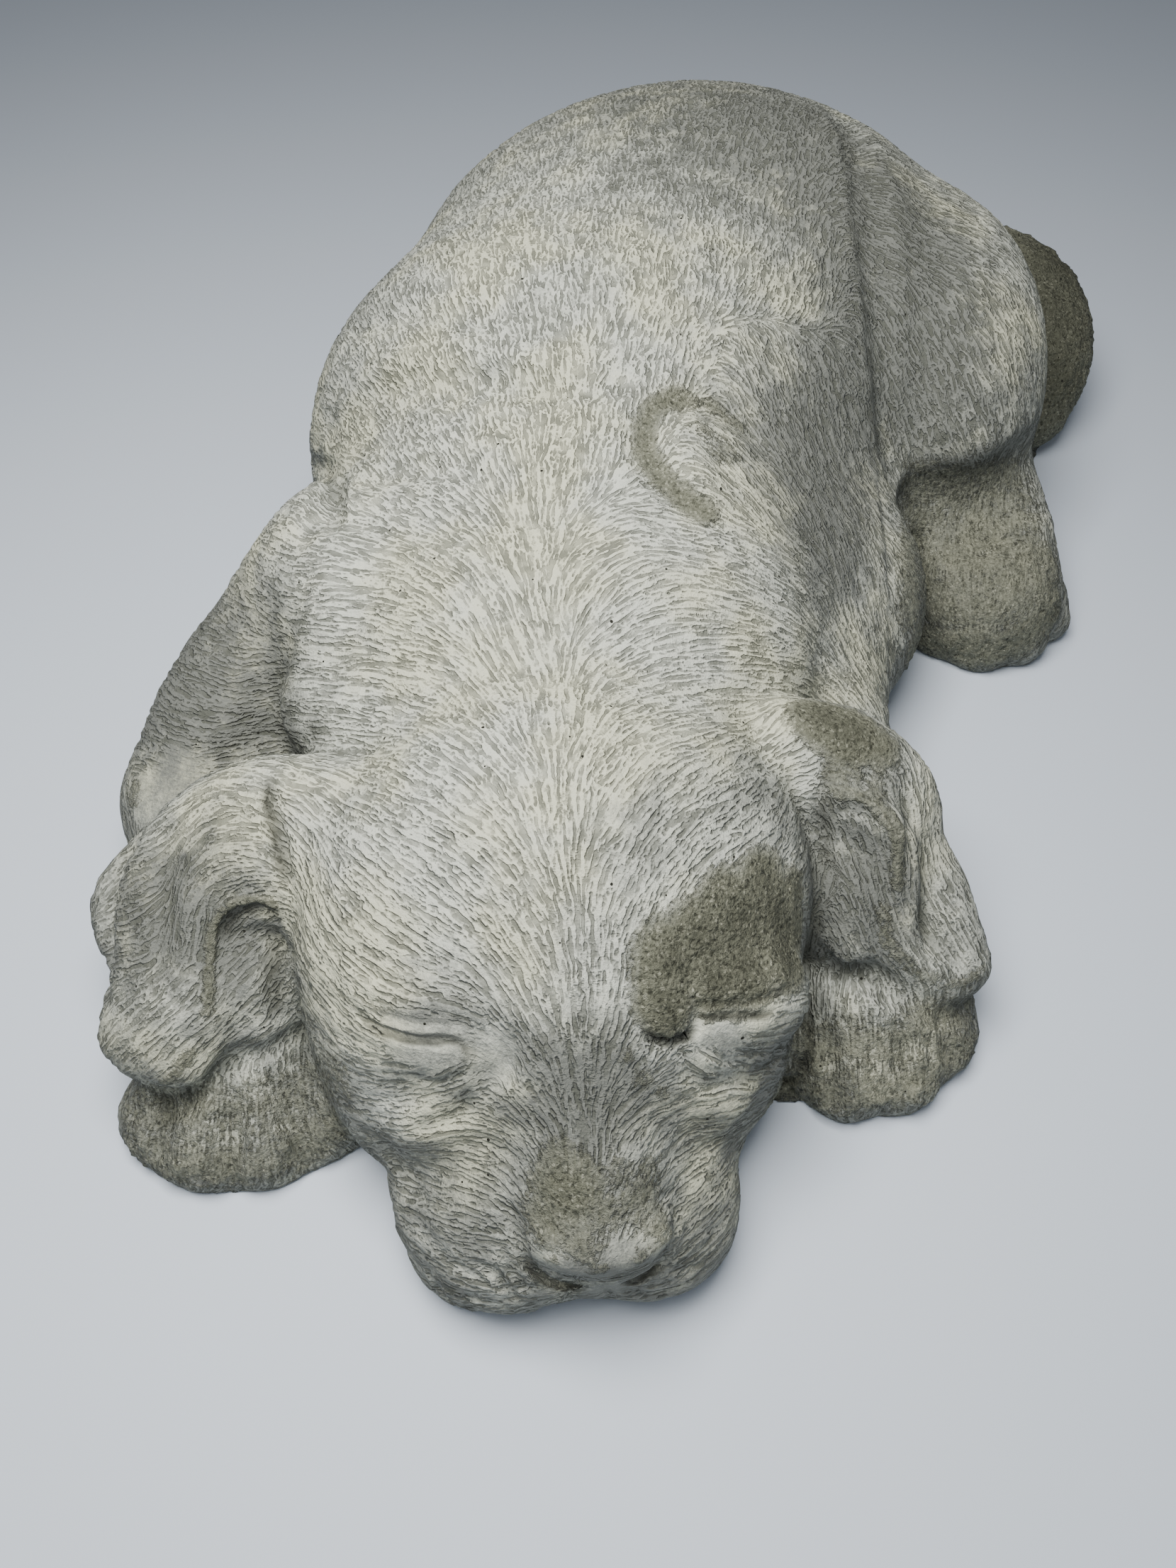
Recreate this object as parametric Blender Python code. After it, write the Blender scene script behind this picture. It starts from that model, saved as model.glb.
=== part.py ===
"""A sleeping puppy, cast in concrete as one solid piece that lies on its own flat underside.

The puppy faces -Y, with its chin between its forepaws. Its hips are rolled on to one side, so that the near hind
leg and the tail come out at +X. The pose is written in millimetres of a statue CARVED_LENGTH long, and one scale
takes all of it to STATUE_LENGTH.
"""

import math

import bmesh
import bpy
import numpy as np
from mathutils import Matrix, Vector

# Driving dimensions, in metres
STATUE_LENGTH = 0.430  # from the lips to the rump
SKIN_VOXEL = 0.0024  # the grid that fuses the forms
TRIANGLES = 9600  # what the finished solid is thinned to

# The pose, in millimetres of the carving
CARVED_LENGTH = 428.6
CARVED_CENTRE = (33.2, 278.7)  # what becomes the origin, on the ground
HEAD_PLACE = (-4.4, 150.0)  # under the middle of the skull
HEAD_TURN = 5.0  # degrees, the nose towards +X
REACH = 9.0  # how far from its own surface a form still shapes the clay


def turned(degrees):
    """A rotation matrix from three angles about X, Y and Z."""
    matrix = np.eye(3)
    for axis, angle in enumerate(degrees):
        c, s = math.cos(math.radians(angle)), math.sin(math.radians(angle))
        a, b = [(1, 2), (2, 0), (0, 1)][axis]
        step = np.eye(3)
        step[a, a], step[a, b], step[b, a], step[b, b] = c, -s, s, c
        matrix = step @ matrix
    return matrix


def form(balls, distance, blend, cut=False):
    """A piece of clay, its rough shape in balls and the box outside which it has no effect."""
    reach = blend + REACH
    low = np.min([centre - max(size) for centre, size, _ in balls], axis=0) - reach
    high = np.max([centre + max(size) for centre, size, _ in balls], axis=0) + reach
    return {"balls": balls, "distance": distance, "blend": blend, "cut": cut, "low": low, "high": high}


def lump(at, radii, turn=(0, 0, 0), blend=8.0, cut=False):
    """An ellipsoid."""
    centre, size, matrix = np.array(at, float), np.array(radii, float), turned(turn)

    def distance(points):
        local = (points - centre) @ matrix
        near = np.linalg.norm(local / size, axis=1)
        slope = np.linalg.norm(local / size**2, axis=1)
        return near * (near - 1) / np.maximum(slope, 1e-9)

    return form([(centre, size, matrix)], distance, blend, cut)


def smooth_line(stations, steps=5):
    """Rows of numbers joined by a Catmull-Rom curve."""
    rows = np.array(stations, float)
    if len(rows) < 3:
        return rows
    padded = np.vstack([2 * rows[0] - rows[1], rows, 2 * rows[-1] - rows[-2]])
    out = []
    for i in range(len(rows) - 1):
        a, b, c, d = padded[i : i + 4]
        for t in np.arange(steps) / steps:
            out.append(
                0.5 * (2 * b + (c - a) * t + (2 * a - 5 * b + 4 * c - d) * t**2 + (3 * b - a - 3 * c + d) * t**3)
            )
    return np.vstack([out, rows[-1]])


def limb(stations, blend=6.0, flat=1.0, cut=False, steps=5):
    """A rounded limb through stations of x, y, z and radius. Flat squeezes its height."""
    line = smooth_line(stations, steps)
    squeeze = np.array([1.0, 1.0, 1.0 / flat])

    def distance(points):
        best = np.full(len(points), 1e9)
        stretched = points * squeeze
        for start, end in zip(line[:-1], line[1:]):
            a, b = start[:3] * squeeze, end[:3] * squeeze
            along = b - a
            t = np.clip((stretched - a) @ along / max(along @ along, 1e-9), 0, 1)
            gap = np.linalg.norm(stretched - a - t[:, None] * along, axis=1)
            best = np.minimum(best, gap - (start[3] + t * (end[3] - start[3])))
        return best * min(flat, 1.0)

    balls = [(row[:3], row[3] * np.array([1, 1, flat]), np.eye(3)) for row in line]
    return form(balls, distance, blend, cut)


def blended(first, second, blend):
    """The smaller of two distances, with a fillet where they meet."""
    if blend <= 0:
        return np.minimum(first, second)
    overlap = np.maximum(blend - np.abs(first - second), 0) / blend
    return np.minimum(first, second) - overlap**2 * blend / 4


def clay_distance(forms, points):
    """How far each point is outside the clay."""
    total = np.full(len(points), 1e3)
    for one in forms:
        near = np.flatnonzero(np.all((points > one["low"]) & (points < one["high"]), axis=1))
        if len(near) == 0:
            continue
        gap = one["distance"](points[near])
        if one["cut"]:
            total[near] = -blended(-total[near], gap, one["blend"])
        else:
            total[near] = blended(total[near], gap, one["blend"])
    return total


def slope_and_distance(forms, points, step=0.3):
    corners = np.array([[1, -1, -1], [-1, -1, 1], [-1, 1, -1], [1, 1, 1]], float)
    gaps = [clay_distance(forms, points + c * step) for c in corners]
    slope = sum(c * g[:, None] for c, g in zip(corners, gaps)) / (4 * step)
    return slope, sum(gaps) / 4


def pressed(forms, points, rounds):
    """Points moved along the slope on to the blended surface, and the way out of the clay there."""
    for _ in range(rounds):
        slope, gap = slope_and_distance(forms, points)
        size = np.maximum((slope**2).sum(1), 0.25)
        points = points - slope * np.clip(gap / size, -6, 6)[:, None]
    return points, slope / np.sqrt(np.maximum((slope**2).sum(1), 1e-9))[:, None]


def drawn(forms, stations, radius, height, blend=3.0):
    """A ridge of this height drawn on the clay through rough stations, or a groove if it is negative.

    It fades out towards both ends.
    """
    line = smooth_line(stations, 4)
    line, out = pressed(forms, line, 6)
    fade = np.sin(np.pi * (np.arange(len(line)) + 0.6) / (len(line) + 0.2)) ** 0.5
    size = radius * (0.55 + 0.45 * fade)
    centre = line - out * (size - abs(height) * fade)[:, None] * math.copysign(1, height)
    return limb(np.column_stack([centre, size]), blend=blend, cut=height < 0, steps=1)


def head_point(x, y, z):
    """A point given in the head's own frame, x across it and y back from its middle."""
    c, s = math.cos(math.radians(HEAD_TURN)), math.sin(math.radians(HEAD_TURN))
    return (HEAD_PLACE[0] + x * c - y * s, HEAD_PLACE[1] + x * s + y * c, z)


def head_lump(at, radii, turn=(0, 0, 0), **rest):
    return lump(head_point(*at), radii, (turn[0], turn[1], turn[2] + HEAD_TURN), **rest)


def head_limb(stations, **rest):
    return limb([(*head_point(*row[:3]), row[3]) for row in stations], **rest)


def add_torso(clay):
    clay.append(lump((-2, 262, 44), (82, 70, 66), blend=0))
    clay.append(lump((1, 330, 48), (94, 80, 78), blend=22))
    clay.append(lump((38, 396, 50), (107, 97, 80), blend=24))
    clay.append(lump((-8, 215, 50), (68, 50, 50), blend=18))
    clay.append(lump((52, 288, 30), (58, 66, 44), blend=18))


def add_hindquarters(clay):
    clay.append(lump((112, 382, 44), (46, 74, 62), turn=(0, 12, 8), blend=8))
    clay.append(limb([(132, 340, 28, 27), (136, 318, 20, 27), (136, 300, 12, 28)], flat=0.9, blend=4))
    clay.append(limb([(100, 462, 30, 28), (140, 462, 30, 30), (167, 442, 30, 32), (175, 414, 25, 27), (168, 390, 15, 19)],
                     blend=5))
    add_paw(clay, [(118, 280, -12), (134, 272, -2), (150, 275, 8), (163, 286, 20)], 11)


def add_forelegs(clay):
    clay.append(lump((-66, 250, 50), (38, 42, 44), turn=(0, 0, 20), blend=12))
    clay.append(limb([(-84, 246, 48, 32), (-99, 226, 34, 31), (-109, 206, 20, 27)], blend=8))
    clay.append(limb([(-108, 204, 16, 25), (-100, 165, 14, 24), (-91, 134, 10, 26)], flat=0.95, blend=8))
    clay.append(limb([(56, 240, 30, 34), (64, 205, 20, 28), (74, 172, 14, 25), (77, 150, 8, 27)], blend=8))
    add_paw(clay, [(-113, 103, -30), (-99, 95, -10), (-81, 96, 5), (-65, 104, 20)], 12)
    add_paw(clay, [(49, 118, -20), (66, 113, -5), (84, 117, 12), (99, 129, 35)], 12)


def add_paw(clay, toes, radius):
    """Four toes, each given by where its tip touches the ground and which way it points."""
    for x, y, angle in toes:
        c, s = math.cos(math.radians(angle)), math.sin(math.radians(angle))
        clay.append(
            limb(
                [
                    (x - 34 * s, y + 34 * c, radius, radius),
                    (x - 18 * s, y + 18 * c, radius - 1, radius - 1),
                    (x - 8 * s, y + 8 * c, 6, radius - 3),
                ],
                blend=4,
            )
        )


def add_head(clay):
    clay.append(head_lump((0, 8, 48), (61, 58, 53), blend=12))
    clay.append(head_lump((-38, -2, 42), (30, 40, 40), blend=12))
    clay.append(head_lump((0, -26, 42), (48, 34, 40), blend=12))
    clay.append(head_lump((-4, -54, 23), (37, 29, 28), blend=8))
    clay.append(head_limb([(0, -38, 52, 16), (0, -56, 42, 17), (0, -68, 35, 14)], blend=8))
    for side, wide in ((-1, 1.12), (1, 0.82)):
        clay.append(head_lump((side * 37 * wide, -22, 28), (21, 30, 30), blend=10))
        clay.append(head_lump((side * 20 * wide, -64, 15), (20, 19, 19), blend=10))
        clay.append(head_lump((side * 35, -30, 60), (19, 13, 12), turn=(0, side * 25, 0), blend=6))
        clay.append(head_lump((side * 32, -47, 45), (15, 9, 10), turn=(0, side * 20, 0), blend=4))
    clay.append(head_lump((1, -74, 36), (17, 9, 11), blend=3))


def add_ears(clay):
    """Each ear hangs over its foreleg: back edge, front edge, far lobe, turned rim and the inner leaf under it."""
    for stations, blend in (
        ([(-60, 168, 64, 14), (-80, 172, 61, 14), (-96, 167, 54, 14), (-105, 156, 46, 13), (-106, 141, 38, 12),
          (-105, 126, 31, 11)], 5),
        ([(-62, 158, 60, 13), (-79, 157, 58, 12), (-93, 150, 52, 10), (-98, 139, 45, 9), (-98, 127, 38, 9),
          (-98, 120, 32, 8)], 8),
        ([(-108, 170, 40, 13), (-119, 160, 34, 11), (-111, 143, 32, 10), (-111, 128, 28, 11)], 6),
        ([(-70, 144, 55, 5), (-79, 146, 56, 4), (-87, 145, 53, 4), (-91, 137, 47, 4), (-91, 129, 42, 4),
          (-93, 121, 36, 4)], 3),
        ([(-77, 146, 38, 13), (-80, 136, 31, 13), (-84, 129, 24, 12)], 3),
        ([(-96, 150, 30, 20), (-100, 134, 22, 18)], 5),
        ([(48, 188, 64, 15), (64, 187, 61, 15), (77, 183, 52, 14), (83, 173, 43, 11), (90, 162, 34, 11),
          (97, 149, 25, 9)], 5),
        ([(60, 172, 53, 10), (65, 160, 46, 10), (67, 151, 36, 10)], 4),
        ([(56, 177, 63, 9), (66, 172, 61, 8), (74, 168, 56, 8), (77, 160, 48, 7), (77, 152, 40, 7), (80, 147, 33, 7),
          (92, 144, 26, 6)], 3),
    ):
        clay.append(limb(stations, blend=blend))


def add_folds(clay):
    """Grooves and ridges drawn on the finished masses: rough place, radius and height, less than 0 for a groove."""
    for stations, radius, height in (
        # round the left foreleg and shoulder
        ([(-72, 271, 90), (-71, 256, 86), (-76, 228, 77), (-80, 205, 70), (-92, 190, 58)], 8, -4),
        # the blade of the near shoulder
        ([(25, 272, 112), (17, 263, 112), (15, 250, 111), (22, 238, 107)], 5, -3),
        ([(33, 266, 112), (28, 257, 112), (29, 246, 110)], 9, 2.5),
        # the near thigh, and its hock
        ([(85, 425, 118), (85, 404, 114), (85, 366, 106), (90, 326, 90), (100, 300, 62), (106, 286, 40)], 8, -4),
        ([(104, 322, 48), (118, 322, 54), (134, 324, 54), (152, 334, 44)], 5, -3),
        # loose skin over the neck and back
        ([(-66, 284, 100), (-40, 280, 110), (-10, 273, 112), (8, 275, 112)], 7, -1.1),
        ([(-72, 246, 88), (-38, 236, 98), (-10, 232, 100)], 7, -1.0),
        # where each ear leaves the head
        ([(-74, 172, 78), (-74, 160, 75), (-70, 151, 70), (-69, 142, 62), (-70, 132, 50)], 4, -2.5),
        ([(57, 168, 66), (57, 160, 62), (58, 150, 50)], 4, -2),
        # the hollow inside the far ear, the dip behind its rim, and the lower edge of each ear
        ([(-75, 142, 50), (-80, 138, 44), (-84, 130, 38)], 8, -4),
        ([(-113, 170, 50), (-113, 158, 42), (-109, 147, 38), (-108, 136, 34)], 5, -2),
        ([(-117, 108, 20), (-106, 109, 22), (-96, 113, 24), (-86, 121, 28), (-73, 125, 32)], 3.5, -3),
        ([(104, 138, 18), (93, 136, 20), (80, 139, 24), (68, 143, 30), (59, 144, 36)], 3.5, -3),
    ):
        clay.append(drawn(clay, stations, radius, height))


def add_features(clay):
    """The face: closed lids, the bags under them, nostrils and mouth."""
    for side in (-1, 1):
        for stations, radius, height in (
            ([(side * 53, -33, 64), (side * 45, -37, 64), (side * 34, -40, 64), (side * 25, -42, 63)], 3, -1.6),
            ([(side * 46, -40, 58), (side * 38, -42, 60), (side * 31, -43, 60), (side * 26, -43, 61)], 2.4, 1.2),
            ([(side * 17, -44, 62), (side * 22, -50, 54), (side * 31, -54, 46), (side * 43, -52, 38)], 4, -2.2),
            ([(side * 14, -73, 36), (side * 13, -78, 32), (side * 7, -81, 28), (side * 3, -82, 28)], 3, -2.5),
            ([(side * 4, -80, 18), (side * 14, -83, 12), (side * 26, -79, 12), (side * 36, -68, 16)], 3, -1.6),
        ):
            clay.append(drawn(clay, [(*head_point(*row),) for row in stations], radius, height, 1.5))
    middle = [head_point(0, -82, 27), head_point(0, -83, 20), head_point(0, -82, 12)]
    clay.append(drawn(clay, middle, 3, -2, 1.5))


def block_out(forms):
    """Every form that adds clay, roughly, as icospheres in one mesh."""
    bm = bmesh.new()
    for one in forms:
        if one["cut"]:
            continue
        for centre, size, matrix in one["balls"]:
            place = Matrix.Translation(Vector(centre)) @ Matrix(matrix.tolist()).to_4x4()
            scaled = place @ Matrix.Diagonal((*size, 1.0))
            bmesh.ops.create_icosphere(bm, subdivisions=2 if max(size) < 20 else 3, radius=1.0, matrix=scaled)
    mesh = bpy.data.meshes.new("puppy")
    bm.to_mesh(mesh)
    bm.free()
    return mesh


def applied(obj):
    """Bakes an object's modifiers into its mesh."""
    graph = bpy.context.evaluated_depsgraph_get()
    mesh = bpy.data.meshes.new_from_object(obj.evaluated_get(graph))
    obj.modifiers.clear()
    old = obj.data
    obj.data = mesh
    bpy.data.meshes.remove(old)


def fuse(obj, voxel):
    """Fuses whatever overlaps into one closed skin."""
    remesh = obj.modifiers.new("fuse", "REMESH")
    remesh.mode = "VOXEL"
    remesh.voxel_size = voxel
    applied(obj)


def press_to_clay(obj, forms, rounds):
    mesh = obj.data
    points = np.empty(len(mesh.vertices) * 3, np.float32)
    mesh.vertices.foreach_get("co", points)
    points, _ = pressed(forms, points.reshape(-1, 3).astype(float), rounds)
    mesh.vertices.foreach_set("co", points.astype(np.float32).ravel())
    mesh.update()


def cut_underside(mesh):
    """Cuts the clay off flat at the ground and closes it."""
    bm = bmesh.new()
    bm.from_mesh(mesh)
    everything = bm.verts[:] + bm.edges[:] + bm.faces[:]
    cut = bmesh.ops.bisect_plane(
        bm, geom=everything, plane_co=(0, 0, 0), plane_no=(0, 0, 1), clear_inner=True, dist=1e-4
    )
    rim = [e for e in cut["geom_cut"] if isinstance(e, bmesh.types.BMEdge)]
    bmesh.ops.holes_fill(bm, edges=rim, sides=0)
    bmesh.ops.triangulate(bm, faces=bm.faces[:])
    bmesh.ops.recalc_face_normals(bm, faces=bm.faces[:])
    bm.to_mesh(mesh)
    bm.free()


def concrete():
    material = bpy.data.materials.new("cast concrete")
    material.use_nodes = True
    shader = material.node_tree.nodes["Principled BSDF"]
    shader.inputs["Base Color"].default_value = (0.52, 0.53, 0.48, 1)
    shader.inputs["Roughness"].default_value = 0.9
    shader.inputs["Metallic"].default_value = 0.0
    return material


def build():
    for old in list(bpy.data.objects):
        bpy.data.objects.remove(old)
    clay = []
    add_torso(clay)
    add_hindquarters(clay)
    add_forelegs(clay)
    add_head(clay)
    add_ears(clay)
    add_folds(clay)
    add_features(clay)
    puppy = bpy.data.objects.new("puppy", block_out(clay))
    bpy.context.scene.collection.objects.link(puppy)
    scale = STATUE_LENGTH / CARVED_LENGTH
    voxel = SKIN_VOXEL / scale
    fuse(puppy, 1.4 * voxel)
    press_to_clay(puppy, clay, 4)
    fuse(puppy, voxel)
    press_to_clay(puppy, clay, 2)
    thin = puppy.modifiers.new("thin", "DECIMATE")
    thin.ratio = min(1.0, TRIANGLES / (2 * len(puppy.data.polygons)))
    applied(puppy)
    cut_underside(puppy.data)
    to_origin = Matrix.Translation((-CARVED_CENTRE[0], -CARVED_CENTRE[1], 0))
    puppy.data.transform(Matrix.Scale(scale, 4) @ to_origin)
    puppy.data.materials.append(concrete())
    puppy.data.shade_smooth()
    return puppy


build()
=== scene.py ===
import math
import time
from functools import partial

import bmesh
import bpy
import numpy as np
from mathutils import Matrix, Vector


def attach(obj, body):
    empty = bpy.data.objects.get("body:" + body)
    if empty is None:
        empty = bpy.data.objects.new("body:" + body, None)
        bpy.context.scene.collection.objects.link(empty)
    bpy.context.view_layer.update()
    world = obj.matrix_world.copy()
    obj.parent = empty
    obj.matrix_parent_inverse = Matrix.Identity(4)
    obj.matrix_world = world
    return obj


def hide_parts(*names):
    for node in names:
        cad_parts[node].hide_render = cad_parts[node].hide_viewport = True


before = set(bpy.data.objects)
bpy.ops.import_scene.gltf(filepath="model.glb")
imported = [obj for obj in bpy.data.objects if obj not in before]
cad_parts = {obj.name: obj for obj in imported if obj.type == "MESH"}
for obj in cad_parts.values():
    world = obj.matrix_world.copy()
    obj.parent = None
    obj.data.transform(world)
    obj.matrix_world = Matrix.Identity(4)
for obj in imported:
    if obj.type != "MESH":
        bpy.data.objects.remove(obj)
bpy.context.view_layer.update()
startTime = time.time()


def report(words):
    print(f"{words}  ({time.time() - startTime:.0f} s)")


# The pose is written in millimetres of the carving, as the CAD solid's is
pose = {
    "statueLength": 0.430,  # m, lips to rump
    "carvedLength": 428.6,
    "carvedCentre": (33.2, 278.7),  # what lies over the origin
    "headPlace": (-4.4, 150.0),  # under the middle of the skull
    "headTurn": 5.0,  # degrees, nose towards +X
    "reach": 9.0,  # how far from its own surface a form still shapes the clay
}
metresPerMm = pose["statueLength"] / pose["carvedLength"]


# Clay: every form gives its distance to a point, and the distances are blended


def cosSin(degrees):
    return math.cos(math.radians(degrees)), math.sin(math.radians(degrees))


def turned(degrees):
    matrix = np.eye(3)
    for axis, angle in enumerate(degrees):
        c, s = cosSin(angle)
        a, b = [(1, 2), (2, 0), (0, 1)][axis]
        step = np.eye(3)
        step[a, a], step[a, b], step[b, a], step[b, b] = c, -s, s, c
        matrix = step @ matrix
    return matrix


def squaredGaps(points, centres):  # one column for each centre
    return (points**2).sum(1)[:, None] + (centres**2).sum(1) - 2 * points @ centres.T


def makeForm(balls, distance, blend, cut):
    reach = blend + pose["reach"]
    low = np.min([centre - size for centre, size in balls], axis=0) - reach
    high = np.max([centre + size for centre, size in balls], axis=0) + reach
    return {"distance": distance, "blend": blend, "cut": cut, "low": low, "high": high}


def lump(at, radii, turn=(0, 0, 0), blend=8.0, cut=False):  # an ellipsoid
    centre, size, matrix = np.array(at, float), np.array(radii, float), turned(turn)

    def distance(points):
        local = (points - centre) @ matrix
        near = np.linalg.norm(local / size, axis=1)
        slope = np.linalg.norm(local / size**2, axis=1)
        return near * (near - 1) / np.maximum(slope, 1e-9)

    return makeForm([(centre, max(radii))], distance, blend, cut)


def smoothLine(stations, steps=5):  # a Catmull-Rom curve through rows of numbers
    rows = np.array(stations, float)
    if len(rows) < 3:
        return rows
    padded = np.vstack([2 * rows[0] - rows[1], rows, 2 * rows[-1] - rows[-2]])
    out = []
    for i in range(len(rows) - 1):
        a, b, c, d = padded[i : i + 4]
        for t in np.arange(steps) / steps:
            out.append(
                0.5 * (2 * b + (c - a) * t + (2 * a - 5 * b + 4 * c - d) * t**2 + (3 * b - a - 3 * c + d) * t**3)
            )
    return np.vstack([out, rows[-1]])


def limb(stations, blend=6.0, flat=1.0, cut=False, steps=5):  # stations are x, y, z, radius
    line = smoothLine(stations, steps)
    squeeze = np.array([1.0, 1.0, 1.0 / flat])
    start, along = line[:-1, :3] * squeeze, (line[1:, :3] - line[:-1, :3]) * squeeze
    size, growth = line[:-1, 3], line[1:, 3] - line[:-1, 3]
    square = np.maximum((along**2).sum(1), 1e-9)

    def distance(points):
        out = []
        for part in np.array_split(points * squeeze, len(points) // 30000 + 1):
            reach = part @ along.T - (start * along).sum(1)
            t = np.clip(reach / square, 0, 1)
            gap = squaredGaps(part, start) - 2 * t * reach + t**2 * square
            out.append((np.sqrt(np.maximum(gap, 0)) - size - t * growth).min(1))
        return np.concatenate(out) * min(flat, 1.0)

    return makeForm([(row[:3], row[3]) for row in line], distance, blend, cut)


def blended(first, second, blend):
    if blend <= 0:
        return np.minimum(first, second)
    overlap = np.maximum(blend - np.abs(first - second), 0) / blend
    return np.minimum(first, second) - overlap**2 * blend / 4


def clayDistance(forms, points):
    total = np.full(len(points), 1e3)
    for form in forms:
        near = np.flatnonzero(np.all((points > form["low"]) & (points < form["high"]), axis=1))
        if len(near) == 0:
            continue
        gap = form["distance"](points[near])
        if form["cut"]:
            total[near] = -blended(-total[near], gap, form["blend"])
        else:
            total[near] = blended(total[near], gap, form["blend"])
    return total


def pressed(forms, points, rounds):  # moves points on to the clay, and gives the way out of it there
    probe, longestMove = 0.3, 6  # mm
    corners = np.array([[1, -1, -1], [-1, -1, 1], [-1, 1, -1], [1, 1, 1]], float)
    for _ in range(rounds):
        gaps = [clayDistance(forms, points + c * probe) for c in corners]
        slope = sum(c * g[:, None] for c, g in zip(corners, gaps)) / (4 * probe)
        steepness = np.maximum((slope**2).sum(1), 0.25)
        points = points - slope * np.clip(sum(gaps) / 4 / steepness, -longestMove, longestMove)[:, None]
    return points, slope / np.sqrt(np.maximum((slope**2).sum(1), 1e-9))[:, None]


def drawn(forms, stations, radius, height, blend=3.0):  # a ridge on the clay, or a groove if height < 0
    line, out = pressed(forms, smoothLine(stations, 4), 6)
    fade = np.sin(np.pi * (np.arange(len(line)) + 0.6) / (len(line) + 0.2)) ** 0.5
    size = radius * (0.55 + 0.45 * fade)
    centre = line - out * (size - abs(height) * fade)[:, None] * math.copysign(1, height)
    return limb(np.column_stack([centre, size]), blend=blend, cut=height < 0, steps=1)


# The photograph's camera: mm over the ground, degrees down, mm of lens, and the size that places are given in
view = {"height": 300.0, "pitch": 53.0, "lens": 27.05, "across": 1500, "down": 2000}


def seenOn(forms, spots):  # where the clay is met behind places of the picture
    focal = view["lens"] / 36 * view["down"]
    c, s = cosSin(view["pitch"])
    places = []
    for x, y in spots:
        u, v = (x - view["across"] / 2) / focal, (y - view["down"] / 2) / focal
        ray = np.array([u, c - v * s, -s - v * c])
        heights = np.linspace(150, 0, 101)
        line = np.array([0, 0, view["height"]]) + ray * ((view["height"] - heights) / -ray[2])[:, None]
        gaps = clayDistance(forms, line)
        inside = np.flatnonzero(gaps < 0)
        if len(inside) == 0 or inside[0] == 0:
            places.append(line[int(np.argmin(gaps))])
            continue
        i = inside[0]
        t = gaps[i - 1] / (gaps[i - 1] - gaps[i])
        places.append(line[i - 1] + min(max(t, 0), 1) * (line[i] - line[i - 1]))
    return np.array(places)


def headPoint(x, y, z):  # x across the head, y back from its middle
    c, s = cosSin(pose["headTurn"])
    return (pose["headPlace"][0] + x * c - y * s, pose["headPlace"][1] + x * s + y * c, z)


def headLump(at, radii, turn=(0, 0, 0), **rest):
    return lump(headPoint(*at), radii, (turn[0], turn[1], turn[2] + pose["headTurn"]), **rest)


def headLimb(stations, **rest):
    return limb([(*headPoint(*row[:3]), row[3]) for row in stations], **rest)


def addBody(clay):
    clay += [
        lump((-2, 262, 44), (82, 70, 66), blend=0),
        lump((1, 330, 48), (94, 80, 78), blend=22),
        lump((38, 396, 50), (107, 97, 80), blend=24),
        lump((-8, 215, 50), (68, 50, 50), blend=18),
        lump((52, 288, 30), (58, 66, 44), blend=18),
        lump((112, 382, 44), (46, 74, 62), turn=(0, 12, 8), blend=8),
        limb([(132, 340, 28, 27), (136, 318, 20, 27), (136, 300, 12, 28)], flat=0.9, blend=4),
        limb([(100, 462, 30, 28), (140, 462, 30, 30), (167, 442, 30, 31), (174, 420, 26, 26),
              (173, 404, 17, 19)], blend=5),
    ]


def addPaw(clay, toes, radius):  # each toe by where its tip touches the ground and which way it points
    for x, y, angle in toes:
        c, s = cosSin(angle)
        stations = [
            (x - 34 * s, y + 34 * c, radius, radius),
            (x - 18 * s, y + 18 * c, radius - 1, radius - 1),
            (x - 8 * s, y + 8 * c, 6, radius - 3),
        ]
        clay.append(limb(stations, blend=4))


def addLegs(clay):
    addPaw(clay, [(118, 280, -12), (134, 272, -2), (150, 275, 8), (163, 286, 20)], 11)
    clay += [
        lump((-64, 250, 49), (37, 42, 43), turn=(0, 0, 20), blend=12),
        limb([(-81, 246, 46, 28.5), (-97, 226, 33, 29), (-109, 206, 20, 27)], blend=8),
        limb([(-108, 204, 16, 25), (-100, 165, 14, 24), (-91, 134, 10, 26)], flat=0.95, blend=8),
        limb([(56, 240, 30, 34), (64, 205, 20, 28), (74, 172, 14, 25), (77, 150, 8, 27)], blend=8),
    ]
    addPaw(clay, [(-112, 106, -30), (-98, 98, -10), (-81, 98, 5), (-66, 106, 20)], 12)
    addPaw(clay, [(57, 128, -8)], 9)
    addPaw(clay, [(67, 115, -5), (84, 117, 12), (99, 129, 35)], 12)


def fillPaws(clay):  # the toes are hardly parted
    clay += [
        limb([(-110, 116, 3, 12), (-98, 110, 4, 13), (-82, 111, 4, 13), (-66, 118, 3, 12)], blend=6),
        limb([(62, 130, 2, 11), (70, 129, 4, 13), (83, 133, 4, 13), (95, 142, 3, 11)], blend=6),
    ]


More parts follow.
